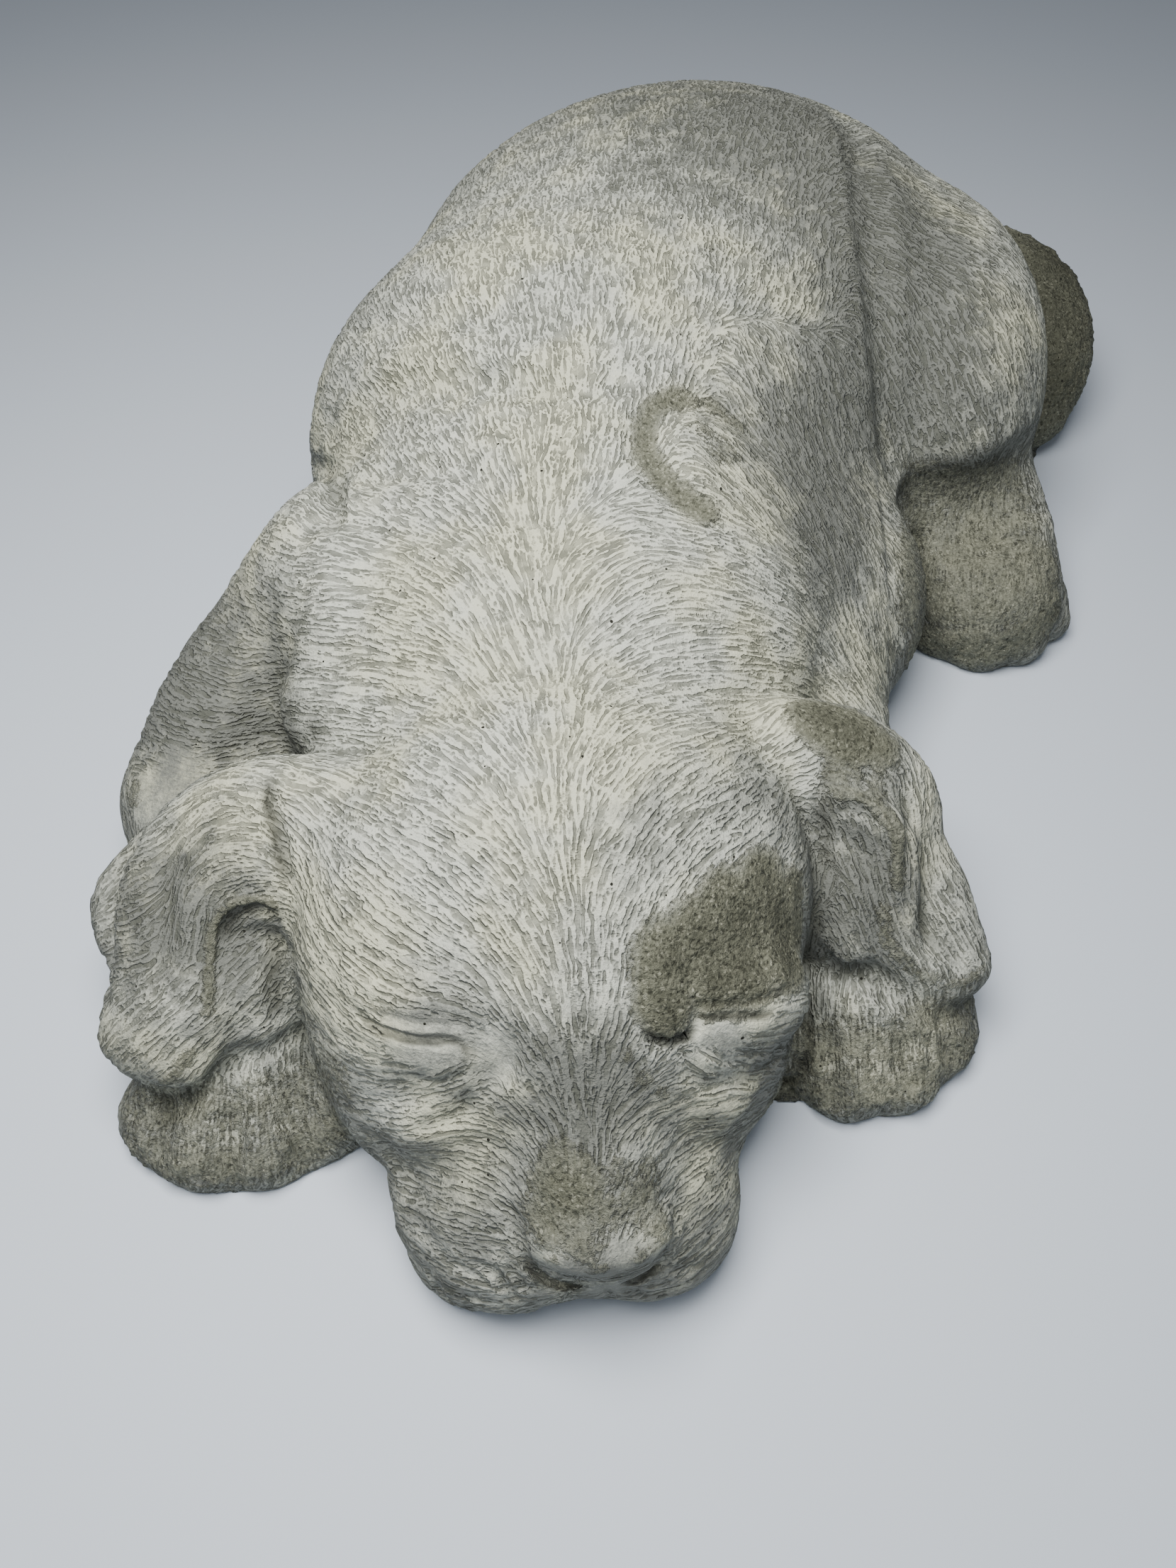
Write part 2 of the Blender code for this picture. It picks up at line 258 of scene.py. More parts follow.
def addHead(clay):
    clay += [
        headLump((0, 8, 48), (61, 58, 53), blend=12),
        headLump((-38, -2, 42), (30, 40, 40), blend=12),
        headLump((0, -26, 42), (48, 34, 40), blend=12),
        headLump((-4, -54, 23), (37, 29, 28), blend=8),
        headLimb([(0, -38, 52, 16), (0, -56, 42, 17), (0, -68, 35, 14)], blend=8),
    ]
    for side, wide in ((-1, 1.12), (1, 0.82)):  # cheek, flew, brow and lower lid
        near = side > 0
        clay.append(headLump((side * 37 * wide, -22, 28), (21, 30, 30), blend=10))
        clay.append(headLump((side * 20 * wide - 2 * near, -64, 15), (20, 19, 19), blend=10))
        clay.append(headLump((side * 35, -30, 60), (19, 13, 12), turn=(0, side * 25, 0), blend=6))
        lid = (side * 32 - 5 * near, -47, 45)
        clay.append(headLump(lid, (15 - 4 * near, 9, 10), turn=(0, side * 20, 0), blend=4))
    clay += [
        headLump((1, -74, 36), (17, 9, 11), blend=3),
        lump((-37, 93, 15), (10.5, 15, 15), blend=6),  # the sides of the muzzle, where the cheeks meet it
        lump((27, 105, 17), (9, 13, 15), blend=5),
        lump((-23, 78, 9), (17, 10, 9), blend=6),
    ]


def addEars(clay):
    for stations, blend in (
        # the far ear: back edge, front edge, far lobe, turned rim, inner leaf and what lies under it
        ([(-60, 168, 64, 14), (-80, 172, 61, 14), (-96, 167, 54, 14), (-105, 156, 46, 13), (-106, 141, 38, 12),
          (-105, 126, 31, 11)], 5),
        ([(-62, 158, 60, 13), (-79, 157, 58, 12), (-93, 150, 52, 10), (-98, 139, 45, 9), (-98, 127, 38, 9),
          (-98, 120, 32, 8)], 8),
        ([(-108, 170, 40, 13), (-119, 160, 34, 11), (-111, 143, 32, 10), (-111, 128, 28, 11)], 6),
        ([(-70, 144, 55, 5), (-79, 146, 56, 4), (-87, 145, 53, 4), (-91, 137, 47, 4), (-91, 129, 42, 4),
          (-93, 121, 36, 4)], 3),
        ([(-77, 146, 38, 13), (-80, 136, 31, 13), (-84, 129, 24, 12)], 3),
        ([(-96, 150, 30, 20), (-100, 134, 22, 18)], 5),
        # the near ear: flap, inner leaf and the folded front edge
        ([(48, 188, 64, 15), (64, 187, 61, 15), (77, 183, 52, 14), (83, 173, 43, 11), (90, 162, 34, 11),
          (97, 149, 25, 9)], 5),
        ([(60, 172, 53, 10), (65, 160, 46, 10), (67, 151, 36, 10)], 4),
        ([(56, 177, 63, 9), (66, 172, 61, 8), (74, 168, 56, 8), (77, 160, 48, 7), (77, 152, 40, 7), (80, 147, 33, 7),
          (92, 144, 26, 6)], 3),
    ):
        clay.append(limb(stations, blend=blend))


def addFolds(clay):
    for stations, radius, height in (
        # round the left foreleg and shoulder
        ([(-72, 271, 90), (-71, 256, 86), (-74, 238, 80)], 7, -3),
        # the near thigh, and its hock
        ([(85, 425, 118), (85, 404, 114), (85, 366, 106), (90, 326, 90), (100, 300, 62), (106, 286, 40)], 10, -3.4),
        # loose skin over the neck and back
        ([(-66, 284, 100), (-40, 280, 110), (-10, 273, 112), (8, 275, 112)], 7, -1.1),
        ([(-72, 246, 88), (-38, 236, 98), (-10, 232, 100)], 7, -1.0),
        # the dip behind the far ear's rim, and the lower edge of each ear
        ([(-113, 170, 50), (-113, 158, 42), (-109, 147, 38), (-108, 136, 34)], 5, -2),
        ([(-117, 108, 20), (-106, 109, 22), (-96, 113, 24), (-86, 121, 28), (-73, 125, 32)], 3.5, -3),
        ([(104, 138, 18), (93, 136, 20), (80, 139, 24), (68, 143, 30), (59, 144, 36)], 3.5, -3),
    ):
        clay.append(drawn(clay, stations, radius, height))


# Lines cut into or laid on the clay: places of the picture, radius, height in mm and blend

farEye = (
    ([(452, 1260), (488, 1276), (528, 1286), (562, 1288), (588, 1280)], 9.0, 0.7, 4),  # brow
    ([(500, 1332), (528, 1344), (556, 1349), (582, 1344)], 8.5, 0.9, 4),  # the eye under its lids
    ([(450, 1281), (470, 1293), (500, 1301), (530, 1307), (560, 1309), (583, 1307)], 1.0, -0.7, 0.8),
    ([(583, 1307), (593, 1320), (600, 1332)], 1.2, -0.8, 1),
    ([(528, 1376), (550, 1384), (572, 1381), (590, 1371), (604, 1358)], 1.5, -0.4, 1.5),
    ([(446, 1290), (462, 1303), (478, 1314), (497, 1321), (520, 1328), (548, 1330), (568, 1329), (588, 1333),
      (598, 1338)], 0.95, -1.25, 0.3),  # slit
    ([(594, 1336), (600, 1343), (606, 1352)], 1.3, -1.4, 0.6),  # inner corner
    ([(606, 1354), (609, 1370), (612, 1386)], 1.8, -0.7, 1.5),
    ([(626, 1316), (634, 1342), (630, 1366)], 8.0, -1.2, 3),
    ([(664, 1326), (650, 1348), (636, 1370), (618, 1390), (600, 1410), (572, 1430), (535, 1442)], 3.0, -1.3, 2.5),
)
nearEye = (
    ([(842, 1232), (850, 1262), (856, 1290), (858, 1306)], 6.5, 1.3, 2),  # broken crust hanging over the lid
    ([(904, 1260), (935, 1262), (968, 1256), (998, 1242)], 6.0, 0.9, 2.5),
    ([(905, 1308), (930, 1311), (955, 1309), (976, 1303)], 6.5, 0.7, 3),
    ([(826, 1318), (840, 1329), (862, 1331), (880, 1324), (891, 1308), (892, 1288)], 1.3, -1.5, 0.8),
    ([(895, 1285), (912, 1281), (935, 1281), (957, 1280), (975, 1274), (992, 1268), (1008, 1261)], 1.0, -0.9, 0.8),
    ([(890, 1300), (905, 1298), (925, 1297), (945, 1296), (968, 1297), (985, 1294)], 0.95, -1.2, 0.3),
    ([(866, 1342), (880, 1366), (893, 1383), (905, 1389)], 2.4, -1.2, 2),
    ([(915, 1386), (945, 1381), (975, 1370), (992, 1352), (1003, 1330)], 2.4, -1.0, 2),
)
noseAndLips = (
    ([(684, 1585), (704, 1602), (726, 1610), (750, 1612), (775, 1609), (803, 1602), (828, 1591), (846, 1572)],
     5.5, 1.8, 2.5),
    ([(648, 1540), (656, 1566), (663, 1590), (672, 1612)], 2.0, -1.5, 1.2),
    ([(672, 1612), (686, 1629), (702, 1639), (720, 1644), (740, 1643)], 1.7, -2.2, 0.8),  # nostrils
    ([(800, 1640), (817, 1633), (834, 1624), (848, 1608)], 1.7, -2.0, 0.8),
    ([(848, 1608), (862, 1586), (866, 1562), (862, 1540)], 1.9, -1.2, 1.2),
    ([(772, 1646), (775, 1656), (777, 1666)], 1.4, -0.9, 1),
    ([(757, 1660), (738, 1669), (715, 1676), (692, 1682)], 1.4, -1.1, 0.8),
    ([(545, 1622), (556, 1645), (572, 1664), (592, 1676), (618, 1682), (645, 1682)], 1.7, -1.4, 1),
    ([(604, 1612), (622, 1622), (638, 1638), (652, 1654), (674, 1665)], 1.5, -1.0, 1),
    ([(560, 1640), (582, 1655), (610, 1661), (640, 1668)], 1.4, -1.0, 1),
    ([(556, 1600), (574, 1616), (596, 1626), (618, 1640)], 1.4, -0.8, 1),
    ([(640, 1600), (652, 1622), (664, 1640), (680, 1652)], 1.4, -0.8, 1),
    ([(530, 1560), (548, 1582), (566, 1594)], 1.6, -0.7, 1.5),
    ([(798, 1648), (822, 1654), (850, 1650), (880, 1638), (903, 1618)], 1.5, -1.1, 1),
    ([(848, 1616), (868, 1624), (890, 1613), (910, 1592)], 1.4, -0.8, 1),
    ([(492, 1462), (500, 1482), (514, 1502), (534, 1524)], 3.0, -1.2, 2),
)
farEarLines = (
    ([(343, 1000), (341, 1020), (345, 1045), (352, 1070), (355, 1090), (360, 1110), (365, 1130)], 2.4, -2.3, 1.5),
    ([(366, 1160), (345, 1154), (322, 1150), (302, 1152), (286, 1162), (275, 1178), (270, 1200), (268, 1228),
      (266, 1262), (266, 1290)], 2.6, 0.9, 1.5),  # crumbled rim
    ([(326, 1208), (312, 1232), (300, 1260), (290, 1295)], 12.0, 4.0, 6),  # leaf behind the rim
    ([(345, 1166), (330, 1162), (312, 1163), (298, 1172), (287, 1190), (282, 1220)], 1.8, -1.3, 1.2),
    ([(350, 1180), (350, 1204), (349, 1240), (353, 1275), (360, 1300)], 2.4, -1.6, 2),
    ([(206, 1405), (202, 1440), (197, 1475)], 4.0, -2.8, 2),  # between the toes
    ([(298, 1400), (290, 1455), (292, 1512)], 4.0, -2.8, 2),
    ([(368, 1395), (381, 1440), (392, 1488)], 4.0, -2.4, 2),
    ([(212, 1060), (206, 1100), (207, 1150), (205, 1200), (198, 1245)], 6.0, -1.6, 3),
    ([(240, 1150), (246, 1190), (245, 1240), (238, 1290)], 5.0, 0.8, 3),
)
nearEarLines = (
    ([(1057, 972), (1051, 1000), (1049, 1030), (1052, 1060), (1055, 1100), (1059, 1140)], 1.9, -1.3, 1.5),
    ([(1066, 1012), (1086, 1011), (1110, 1018), (1130, 1033), (1145, 1056), (1150, 1086), (1149, 1120), (1147, 1150)],
     3.4, 1.0, 1.5),
    ([(1066, 1042), (1084, 1034), (1104, 1040), (1122, 1056)], 1.6, -0.9, 1),
    ([(1058, 1325), (1060, 1360), (1064, 1410)], 3.5, -2.0, 2),  # between the toes
    ([(1146, 1315), (1154, 1350), (1162, 1394)], 3.5, -2.2, 2),
    ([(1198, 1300), (1210, 1330), (1218, 1358)], 3.0, -1.6, 2),
    ([(1150, 985), (1160, 1020), (1166, 1060), (1162, 1100), (1158, 1140), (1154, 1168)], 3.0, -1.2, 2.5),
)
shoulderLines = (
    ([(392, 590), (412, 596), (424, 620), (425, 650), (421, 680), (418, 702)], 4.0, -2.0, 2),
    ([(412, 720), (400, 780), (394, 840), (392, 890), (396, 940)], 14.0, 4.5, 8),  # side of the neck
    ([(385, 930), (405, 938), (425, 938), (445, 930)], 15.0, 6.0, 9),
    ([(402, 700), (382, 740), (368, 790), (358, 840), (345, 890), (332, 935)], 5.0, -1.0, 5),
    ([(300, 962), (318, 952), (336, 952)], 8.0, -2.0, 4),
    ([(1175, 634), (1220, 632), (1265, 624), (1310, 612)], 15.0, -6.5, 5),  # top of the hind foot
    ([(880, 545), (872, 570), (885, 600), (905, 630)], 9.0, 2.2, 4),  # near shoulder blade, and the hollow before it
    ([(868, 506), (842, 515), (824, 540), (824, 575), (842, 605), (868, 632), (900, 656)], 5.0, -2.6, 2.5),
    ([(880, 508), (915, 518), (950, 540), (985, 580)], 5.0, -1.0, 4),
    # loose skin
    ([(420, 545), (470, 500), (540, 482), (620, 480), (700, 490)], 5.0, -1.0, 4),
    ([(440, 520), (500, 466), (580, 448), (680, 452), (760, 470)], 6.0, 0.9, 5),
    ([(470, 610), (540, 590), (620, 600), (690, 630)], 5.0, -0.8, 4),
    ([(450, 420), (530, 400), (620, 400)], 5.0, -0.8, 4),
)


def addSeenLines(clay):
    for lines in (farEye, nearEye, noseAndLips, farEarLines, nearEarLines, shoulderLines):
        for spots, radius, height, blend in lines:
            clay.append(drawn(clay, seenOn(clay, spots), radius, height, blend))


# The skin: the CAD solid's own surface, fused again at a finer pitch and pressed on to the clay

skin = {
    "firstVoxel": 0.0022,  # m, for the voxels here and below
    "voxel": 0.00085,
    "triangles": 197000,
    "headShare": 0.75,  # how much more of the detail the head keeps
    "headCentre": (-8, 140, 40),  # where that is, and how far it reaches
    "headReach": (135, 85, 90),
}


def applied(piece):
    graph = bpy.context.evaluated_depsgraph_get()
    mesh = bpy.data.meshes.new_from_object(piece.evaluated_get(graph))
    piece.modifiers.clear()
    old = piece.data
    piece.data = mesh
    bpy.data.meshes.remove(old)


def fuse(piece, voxel):
    remesh = piece.modifiers.new("fuse", "REMESH")
    remesh.mode = "VOXEL"
    remesh.voxel_size = voxel
    applied(piece)


def getPoints(mesh):
    points = np.empty(len(mesh.vertices) * 3, np.float32)
    mesh.vertices.foreach_get("co", points)
    return points.reshape(-1, 3).astype(float)


def toCarving(points):  # metres in the frame to millimetres of the carving
    return points / metresPerMm + np.array([*pose["carvedCentre"], 0])


def fromCarving(points):
    return (points - np.array([*pose["carvedCentre"], 0])) * metresPerMm


def setPoints(mesh, points):
    mesh.vertices.foreach_set("co", points.astype(np.float32).ravel())
    mesh.update()


def press(piece, forms, rounds):  # the underside stays where it is, flat on the ground
    points = toCarving(getPoints(piece.data))
    above = points[:, 2] > 1.2 * skin["voxel"] / metresPerMm
    moved, _ = pressed(forms, points[above], rounds)
    points[above] = moved
    points[:, 2] = np.maximum(points[:, 2], 0)
    setPoints(piece.data, fromCarving(points))


def copySolid(name):
    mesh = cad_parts[name].data.copy()
    mesh.materials.clear()
    bm = bmesh.new()
    bm.from_mesh(mesh)
    bmesh.ops.remove_doubles(bm, verts=bm.verts[:], dist=1e-6)
    bm.to_mesh(mesh)
    bm.free()
    piece = bpy.data.objects.new("puppyStatue", mesh)
    bpy.context.scene.collection.objects.link(piece)
    return piece


clay = []
for addForms in (addBody, addLegs, fillPaws, addHead, addEars, addFolds, addSeenLines):
    addForms(clay)
report(f"clay: {len(clay)} forms")

fineSpots = (  # place on the picture and radius in mm
    (530, 1320, 17), (600, 1350, 10), (940, 1295, 15), (860, 1310, 10), (760, 1610, 22), (590, 1650, 14),
    (870, 1625, 14), (310, 1165, 12), (1090, 1040, 12),
)


def refine(piece, forms):
    points = toCarving(getPoints(piece.data))
    fine = np.zeros(len(points), bool)
    for centre, (_, _, radius) in zip(seenOn(forms, [spot[:2] for spot in fineSpots]), fineSpots):
        fine |= ((points - centre) ** 2).sum(1) < radius**2
    bm = bmesh.new()
    bm.from_mesh(piece.data)
    edges = {edge for face in bm.faces if all(fine[v.index] for v in face.verts) for edge in face.edges}
    bmesh.ops.subdivide_edges(bm, edges=list(edges), cuts=1, use_grid_fill=True)
    bmesh.ops.triangulate(bm, faces=[face for face in bm.faces if len(face.verts) > 4])
    bm.to_mesh(piece.data)
    bm.free()


statue = copySolid("puppy")
fuse(statue, skin["firstVoxel"])
press(statue, clay, 2)
fuse(statue, skin["voxel"])
refine(statue, clay)
press(statue, clay, 1)
report(f"skin: {len(statue.data.vertices)} points")


# Which way the hair lies: strokes of the comb from root to tip, on the picture where it shows them

comb = {
    "longHair": 1.0,  # length of the strokes on the head, against those on the body
    "shortHair": 0.5,
    "longCentre": (-5, 150, 40),  # where the long hair is, and how far it reaches
    "longReach": (125, 80, 90),
    "seen": (
        # nose and brow
        (750, 1480, 748, 1440), (730, 1400, 722, 1360), (770, 1400, 776, 1360), (745, 1300, 745, 1250),
        (745, 1200, 742, 1150), (725, 1050, 722, 1000), (718, 920, 716, 870), (708, 800, 702, 750),
        (690, 1440, 660, 1400), (680, 1380, 650, 1340), (660, 1320, 630, 1275), (640, 1270, 605, 1225),
        (690, 1280, 668, 1230), (690, 1180, 660, 1130), (650, 1150, 610, 1110), (600, 1200, 560, 1165),
        (590, 1262, 545, 1255), (580, 1290, 530, 1280), (560, 1300, 500, 1285), (520, 1240, 470, 1205),
        (480, 1280, 435, 1235), (440, 1240, 405, 1190), (560, 1170, 510, 1135), (500, 1160, 450, 1115),
        # far half of the head, back to the nape
        (620, 1080, 575, 1050), (560, 1060, 500, 1035), (480, 1040, 420, 1010), (400, 1100, 372, 1050),
        (395, 1060, 360, 1025), (400, 1180, 382, 1120), (385, 1240, 368, 1190), (660, 1000, 630, 955),
        (600, 980, 555, 950), (540, 950, 480, 940), (460, 950, 400, 945), (400, 1000, 352, 985),
        (640, 900, 605, 860), (560, 870, 500, 850), (480, 860, 430, 860), (690, 830, 665, 780),
        (650, 770, 615, 720), (590, 740, 540, 710), (520, 800, 460, 780), (460, 760, 410, 760),
        (670, 700, 655, 665), (600, 680, 560, 650), (540, 660, 485, 632), (470, 700, 430, 690),
        # near half
        (790, 1400, 825, 1352), (785, 1320, 800, 1270), (790, 1180, 815, 1130), (840, 1120, 880, 1070),
        (900, 1060, 950, 1030), (960, 1090, 1005, 1040), (1000, 1080, 1028, 1015), (1040, 1150, 1042, 1095),
        (1036, 1230, 1040, 1180), (780, 1080, 810, 1040), (850, 1040, 900, 1000), (930, 1000, 985, 965),
        (1000, 940, 1035, 905), (760, 1000, 800, 955), (830, 950, 890, 935), (910, 930, 970, 915),
        (780, 900, 850, 882), (880, 880, 950, 880), (760, 830, 810, 800), (840, 820, 900, 815),
        (920, 850, 980, 860), (730, 770, 760, 735), (790, 740, 850, 715), (860, 740, 920, 750),
        (700, 700, 705, 665), (740, 700, 780, 685),
        # under the eyes, and the muzzle
        (600, 1372, 560, 1402), (560, 1395, 505, 1412), (500, 1400, 450, 1395), (445, 1400, 415, 1370),
        (470, 1355, 425, 1330), (430, 1320, 402, 1280), (590, 1420, 540, 1440), (520, 1445, 480, 1438),
        (888, 1335, 925, 1372), (930, 1340, 965, 1362), (955, 1328, 1000, 1316), (800, 1420, 880, 1392),
        (880, 1412, 940, 1395), (640, 1500, 560, 1470), (600, 1540, 540, 1525), (600, 1610, 550, 1590),
        (690, 1530, 655, 1480), (640, 1440, 590, 1420), (620, 1650, 575, 1638), (870, 1500, 925, 1462),
        (870, 1580, 915, 1540), (860, 1620, 900, 1590), (800, 1470, 830, 1430), (820, 1640, 860, 1625),
        # far ear
        (342, 1040, 300, 1028), (345, 1090, 290, 1078), (300, 1060, 255, 1075), (260, 1060, 232, 1105),
        (300, 1110, 262, 1125), (235, 1110, 222, 1160), (225, 1170, 226, 1225), (250, 1140, 240, 1200),
        (230, 1240, 190, 1275), (250, 1270, 205, 1310), (200, 1290, 155, 1325), (215, 1330, 170, 1370),
        (190, 1120, 150, 1140), (200, 1090, 150, 1110), (195, 1180, 140, 1180), (195, 1220, 148, 1225),
        (150, 1100, 128, 1125), (340, 1180, 300, 1215), (330, 1220, 290, 1265), (335, 1260, 285, 1310),
        (300, 1310, 258, 1345),
        # near ear
        (1060, 930, 1110, 940), (1110, 950, 1150, 985), (1150, 990, 1165, 1050), (1165, 1080, 1165, 1130),
        (1170, 1150, 1200, 1195), (1210, 1180, 1240, 1230), (1085, 1060, 1100, 1110), (1100, 1110, 1120, 1170),
        (1130, 1090, 1140, 1150), (1090, 1150, 1110, 1195), (1130, 1190, 1160, 1225), (1178, 960, 1186, 1010),
        # paws
        (210, 1405, 205, 1450), (290, 1380, 290, 1430), (350, 1360, 360, 1410), (170, 1420, 162, 1455),
        (400, 1345, 420, 1400), (1065, 1225, 1062, 1270), (1110, 1270, 1110, 1320), (1170, 1290, 1175, 1330),
        (1225, 1290, 1235, 1330), (1030, 1330, 1030, 1380),
        # far foreleg
        (345, 735, 292, 702), (340, 790, 300, 760), (345, 868, 300, 880), (300, 880, 250, 855),
        (330, 955, 260, 968), (250, 965, 190, 935), (230, 900, 188, 870), (240, 1012, 200, 1002),
        # back
        (640, 600, 625, 550), (560, 600, 530, 555), (480, 600, 450, 570), (720, 600, 730, 550),
        (700, 480, 695, 430), (600, 480, 580, 430), (500, 470, 475, 430), (420, 500, 405, 465),
        (800, 480, 815, 430), (820, 680, 870, 690), (930, 700, 990, 730), (1000, 700, 1050, 750),
        (950, 600, 1000, 660), (1010, 600, 1045, 670), (1000, 480, 1020, 540), (1080, 700, 1098, 760),
        (700, 350, 695, 300), (600, 350, 590, 310), (800, 330, 805, 280), (900, 300, 905, 250),
        (520, 330, 505, 290), (640, 220, 635, 190), (800, 180, 800, 150), (950, 200, 960, 170),
        (1000, 350, 1010, 300),
        # thigh and hind foot
        (1150, 300, 1190, 330), (1200, 400, 1230, 460), (1150, 450, 1180, 520), (1220, 520, 1240, 575),
        (1200, 680, 1195, 740), (1270, 680, 1280, 740),
    ),
    "hidden": (  # a place and a direction in the carving's own frame, for the sides the picture doesn't show
        ((-90, 320, 50), (-0.2, 0.6, -0.8)),
        ((-80, 400, 40), (-0.3, 0.5, -0.8)),
        ((-40, 450, 60), (-0.5, 0.6, -0.7)),
        ((40, 488, 60), (0, 0.4, -0.9)),
        ((100, 460, 80), (0.4, 0.6, -0.6)),
        ((155, 390, 50), (0.1, -0.3, -1)),
        ((185, 440, 40), (0.3, -0.9, -0.4)),
        ((150, 478, 30), (0.8, 0.2, -0.4)),
        ((105, 290, 40), (0.2, 0.4, -0.9)),
        ((-130, 190, 25), (0, -1, -0.2)),
        ((62, 150, 20), (0, -1, -0.3)),
        ((-60, 110, 20), (0.5, 0.3, -0.8)),
    ),
}


def combStrokes(forms):
    seen = np.array(comb["seen"], float)
    roots, tips = seenOn(forms, seen[:, :2]), seenOn(forms, seen[:, 2:])
    ways = tips - roots
    places = (tips + roots) / 2
    places = np.vstack([places, [place for place, _ in comb["hidden"]]])
    ways = np.vstack([ways, [way for _, way in comb["hidden"]]])
    return places, ways / np.linalg.norm(ways, axis=1)[:, None]


def hairFlow(forms, points, out):
    places, ways = combStrokes(forms)
    flow = np.vstack([
        (1 / (squaredGaps(part, places) + 36) ** 2) @ ways for part in np.array_split(points, 20)
    ])
    flow -= out * (flow * out).sum(1)[:, None]
    flow /= np.maximum(np.linalg.norm(flow, axis=1), 1e-12)[:, None]
    headGap = np.linalg.norm((points - np.array(comb["longCentre"])) / np.array(comb["longReach"]), axis=1)
    length = comb["shortHair"] + (comb["longHair"] - comb["shortHair"]) * np.clip(2.6 - 1.6 * headGap, 0, 1)
    return flow * length[:, None]


# Where the whitewash is gone: place on the picture, radius in mm and how bare (under 0.9 it is only patchy)

bareSpots = (
    # near brow
    (860, 1225, 8.5, 1.85), (900, 1200, 9, 1.85), (950, 1180, 10, 1.85), (992, 1165, 9, 1.85),
    (1000, 1215, 8.5, 1.85), (950, 1235, 8.5, 1.85), (850, 1278, 6.5, 1.85), (856, 1302, 4.5, 1.85),
    (915, 1252, 7, 1.85), (930, 1150, 7.5, 1.7), (975, 1125, 7.5, 1.7), (1015, 1185, 6, 1.7), (1015, 1135, 6, 1.55),
    (835, 1250, 5, 1.55), (930, 1272, 5, 1.1), (975, 1258, 5, 1.1), (940, 1290, 5, 0.8), (835, 1200, 5, 1.0),
    (990, 1100, 6, 0.95),
    # nose
    (722, 1520, 10, 1.35), (715, 1482, 7, 1.05), (700, 1552, 8, 1.15), (740, 1585, 7, 0.9), (765, 1545, 8, 0.92),
    (815, 1530, 9, 0.9), (842, 1562, 7, 0.8), (830, 1495, 7, 0.75), (790, 1500, 7, 0.75), (822, 1378, 4, 0.85),
    (800, 1350, 3.5, 0.7), (850, 1395, 4, 0.7), (700, 1608, 4, 0.7), (760, 1622, 5, 0.72), (820, 1608, 5, 0.72),
    (1000, 1375, 8, 1.1), (990, 1400, 7, 1.1),
    # near ear
    (1052, 915, 8, 1.85), (1086, 932, 9, 1.85), (1125, 950, 8, 1.3), (1035, 905, 6, 1.0), (1090, 985, 6, 0.8),
    (1120, 1010, 6, 0.8), (1075, 960, 6, 1.1), (1070, 988, 6, 1.0),
    # tail, elbow and the shoulder blade's hump
    (1340, 400, 34, 1.9), (1350, 340, 28, 1.9), (1350, 480, 28, 1.9), (166, 1012, 7, 0.75), (925, 575, 9, 0.72),
    (900, 545, 6, 0.7),
)


# Where the carver left no hair: the lids, the nose's lip, the hollow of the near ear (place and radius in mm)

smoothSpots = (
    (498, 1312, 3), (522, 1320, 4.2), (550, 1326, 4.6), (575, 1326, 4), (590, 1338, 3), (540, 1350, 4.4),
    (508, 1338, 3.6), (570, 1345, 3.6), (632, 1340, 4.5), (632, 1360, 4),
    (905, 1295, 3.4), (930, 1297, 4.2), (955, 1297, 4.2), (978, 1291, 3.4), (905, 1322, 4), (935, 1328, 3.6),
    (700, 1612, 4), (730, 1618, 5), (765, 1620, 5), (800, 1612, 5), (835, 1600, 4.5), (775, 1645, 5),
    (225, 1000, 9), (190, 1020, 8),
)


bareBands = (  # a row of places, radius in mm, how bare
    ([(868, 508), (842, 515), (824, 540), (824, 575), (842, 605), (868, 632), (900, 656)], 4.4, 1.2),
    ([(880, 508), (915, 520), (945, 545)], 3.5, 0.8),
    ([(345, 1154), (322, 1150), (302, 1152), (286, 1162), (275, 1178), (270, 1200), (268, 1228), (266, 1262),
      (266, 1290)], 2.4, 0.95),
    ([(244, 1345), (215, 1378), (180, 1392), (140, 1392), (120, 1370)], 3.0, 0.85),
    ([(1070, 1008), (1092, 1012), (1115, 1022), (1133, 1040), (1146, 1062), (1149, 1090), (1147, 1125)], 3.8, 0.95),
    ([(1125, 1160), (1140, 1215), (1180, 1245), (1225, 1255), (1255, 1240)], 4.0, 0.75),
    # paws and hind foot
    ([(170, 1425), (230, 1430), (300, 1420), (370, 1400), (425, 1370)], 14.0, 0.7),
    ([(170, 1470), (230, 1490), (300, 1490), (370, 1470), (430, 1430)], 12.0, 0.8),
    ([(1010, 1340), (1060, 1330), (1120, 1330), (1180, 1310), (1235, 1285)], 13.0, 0.72),
    ([(1000, 1385), (1060, 1400), (1120, 1400), (1180, 1380), (1240, 1330)], 12.0, 0.8),
    ([(1165, 610), (1230, 610), (1290, 610)], 13.0, 0.8),
    ([(1165, 665), (1230, 665), (1300, 665)], 13.0, 0.82),
    ([(1170, 638), (1230, 638), (1300, 636)], 13.0, 0.8),
    ([(1165, 693), (1230, 693), (1315, 690)], 13.0, 0.84),
    ([(1165, 720), (1230, 720), (1290, 720), (1340, 715)], 13.0, 0.84),
    ([(1165, 748), (1230, 748), (1325, 742)], 13.0, 0.88),
    ([(1165, 775), (1230, 775), (1290, 775), (1340, 750)], 13.0, 0.9),
    ([(1170, 820), (1230, 830), (1290, 825), (1345, 780)], 12.0, 1.1),
)

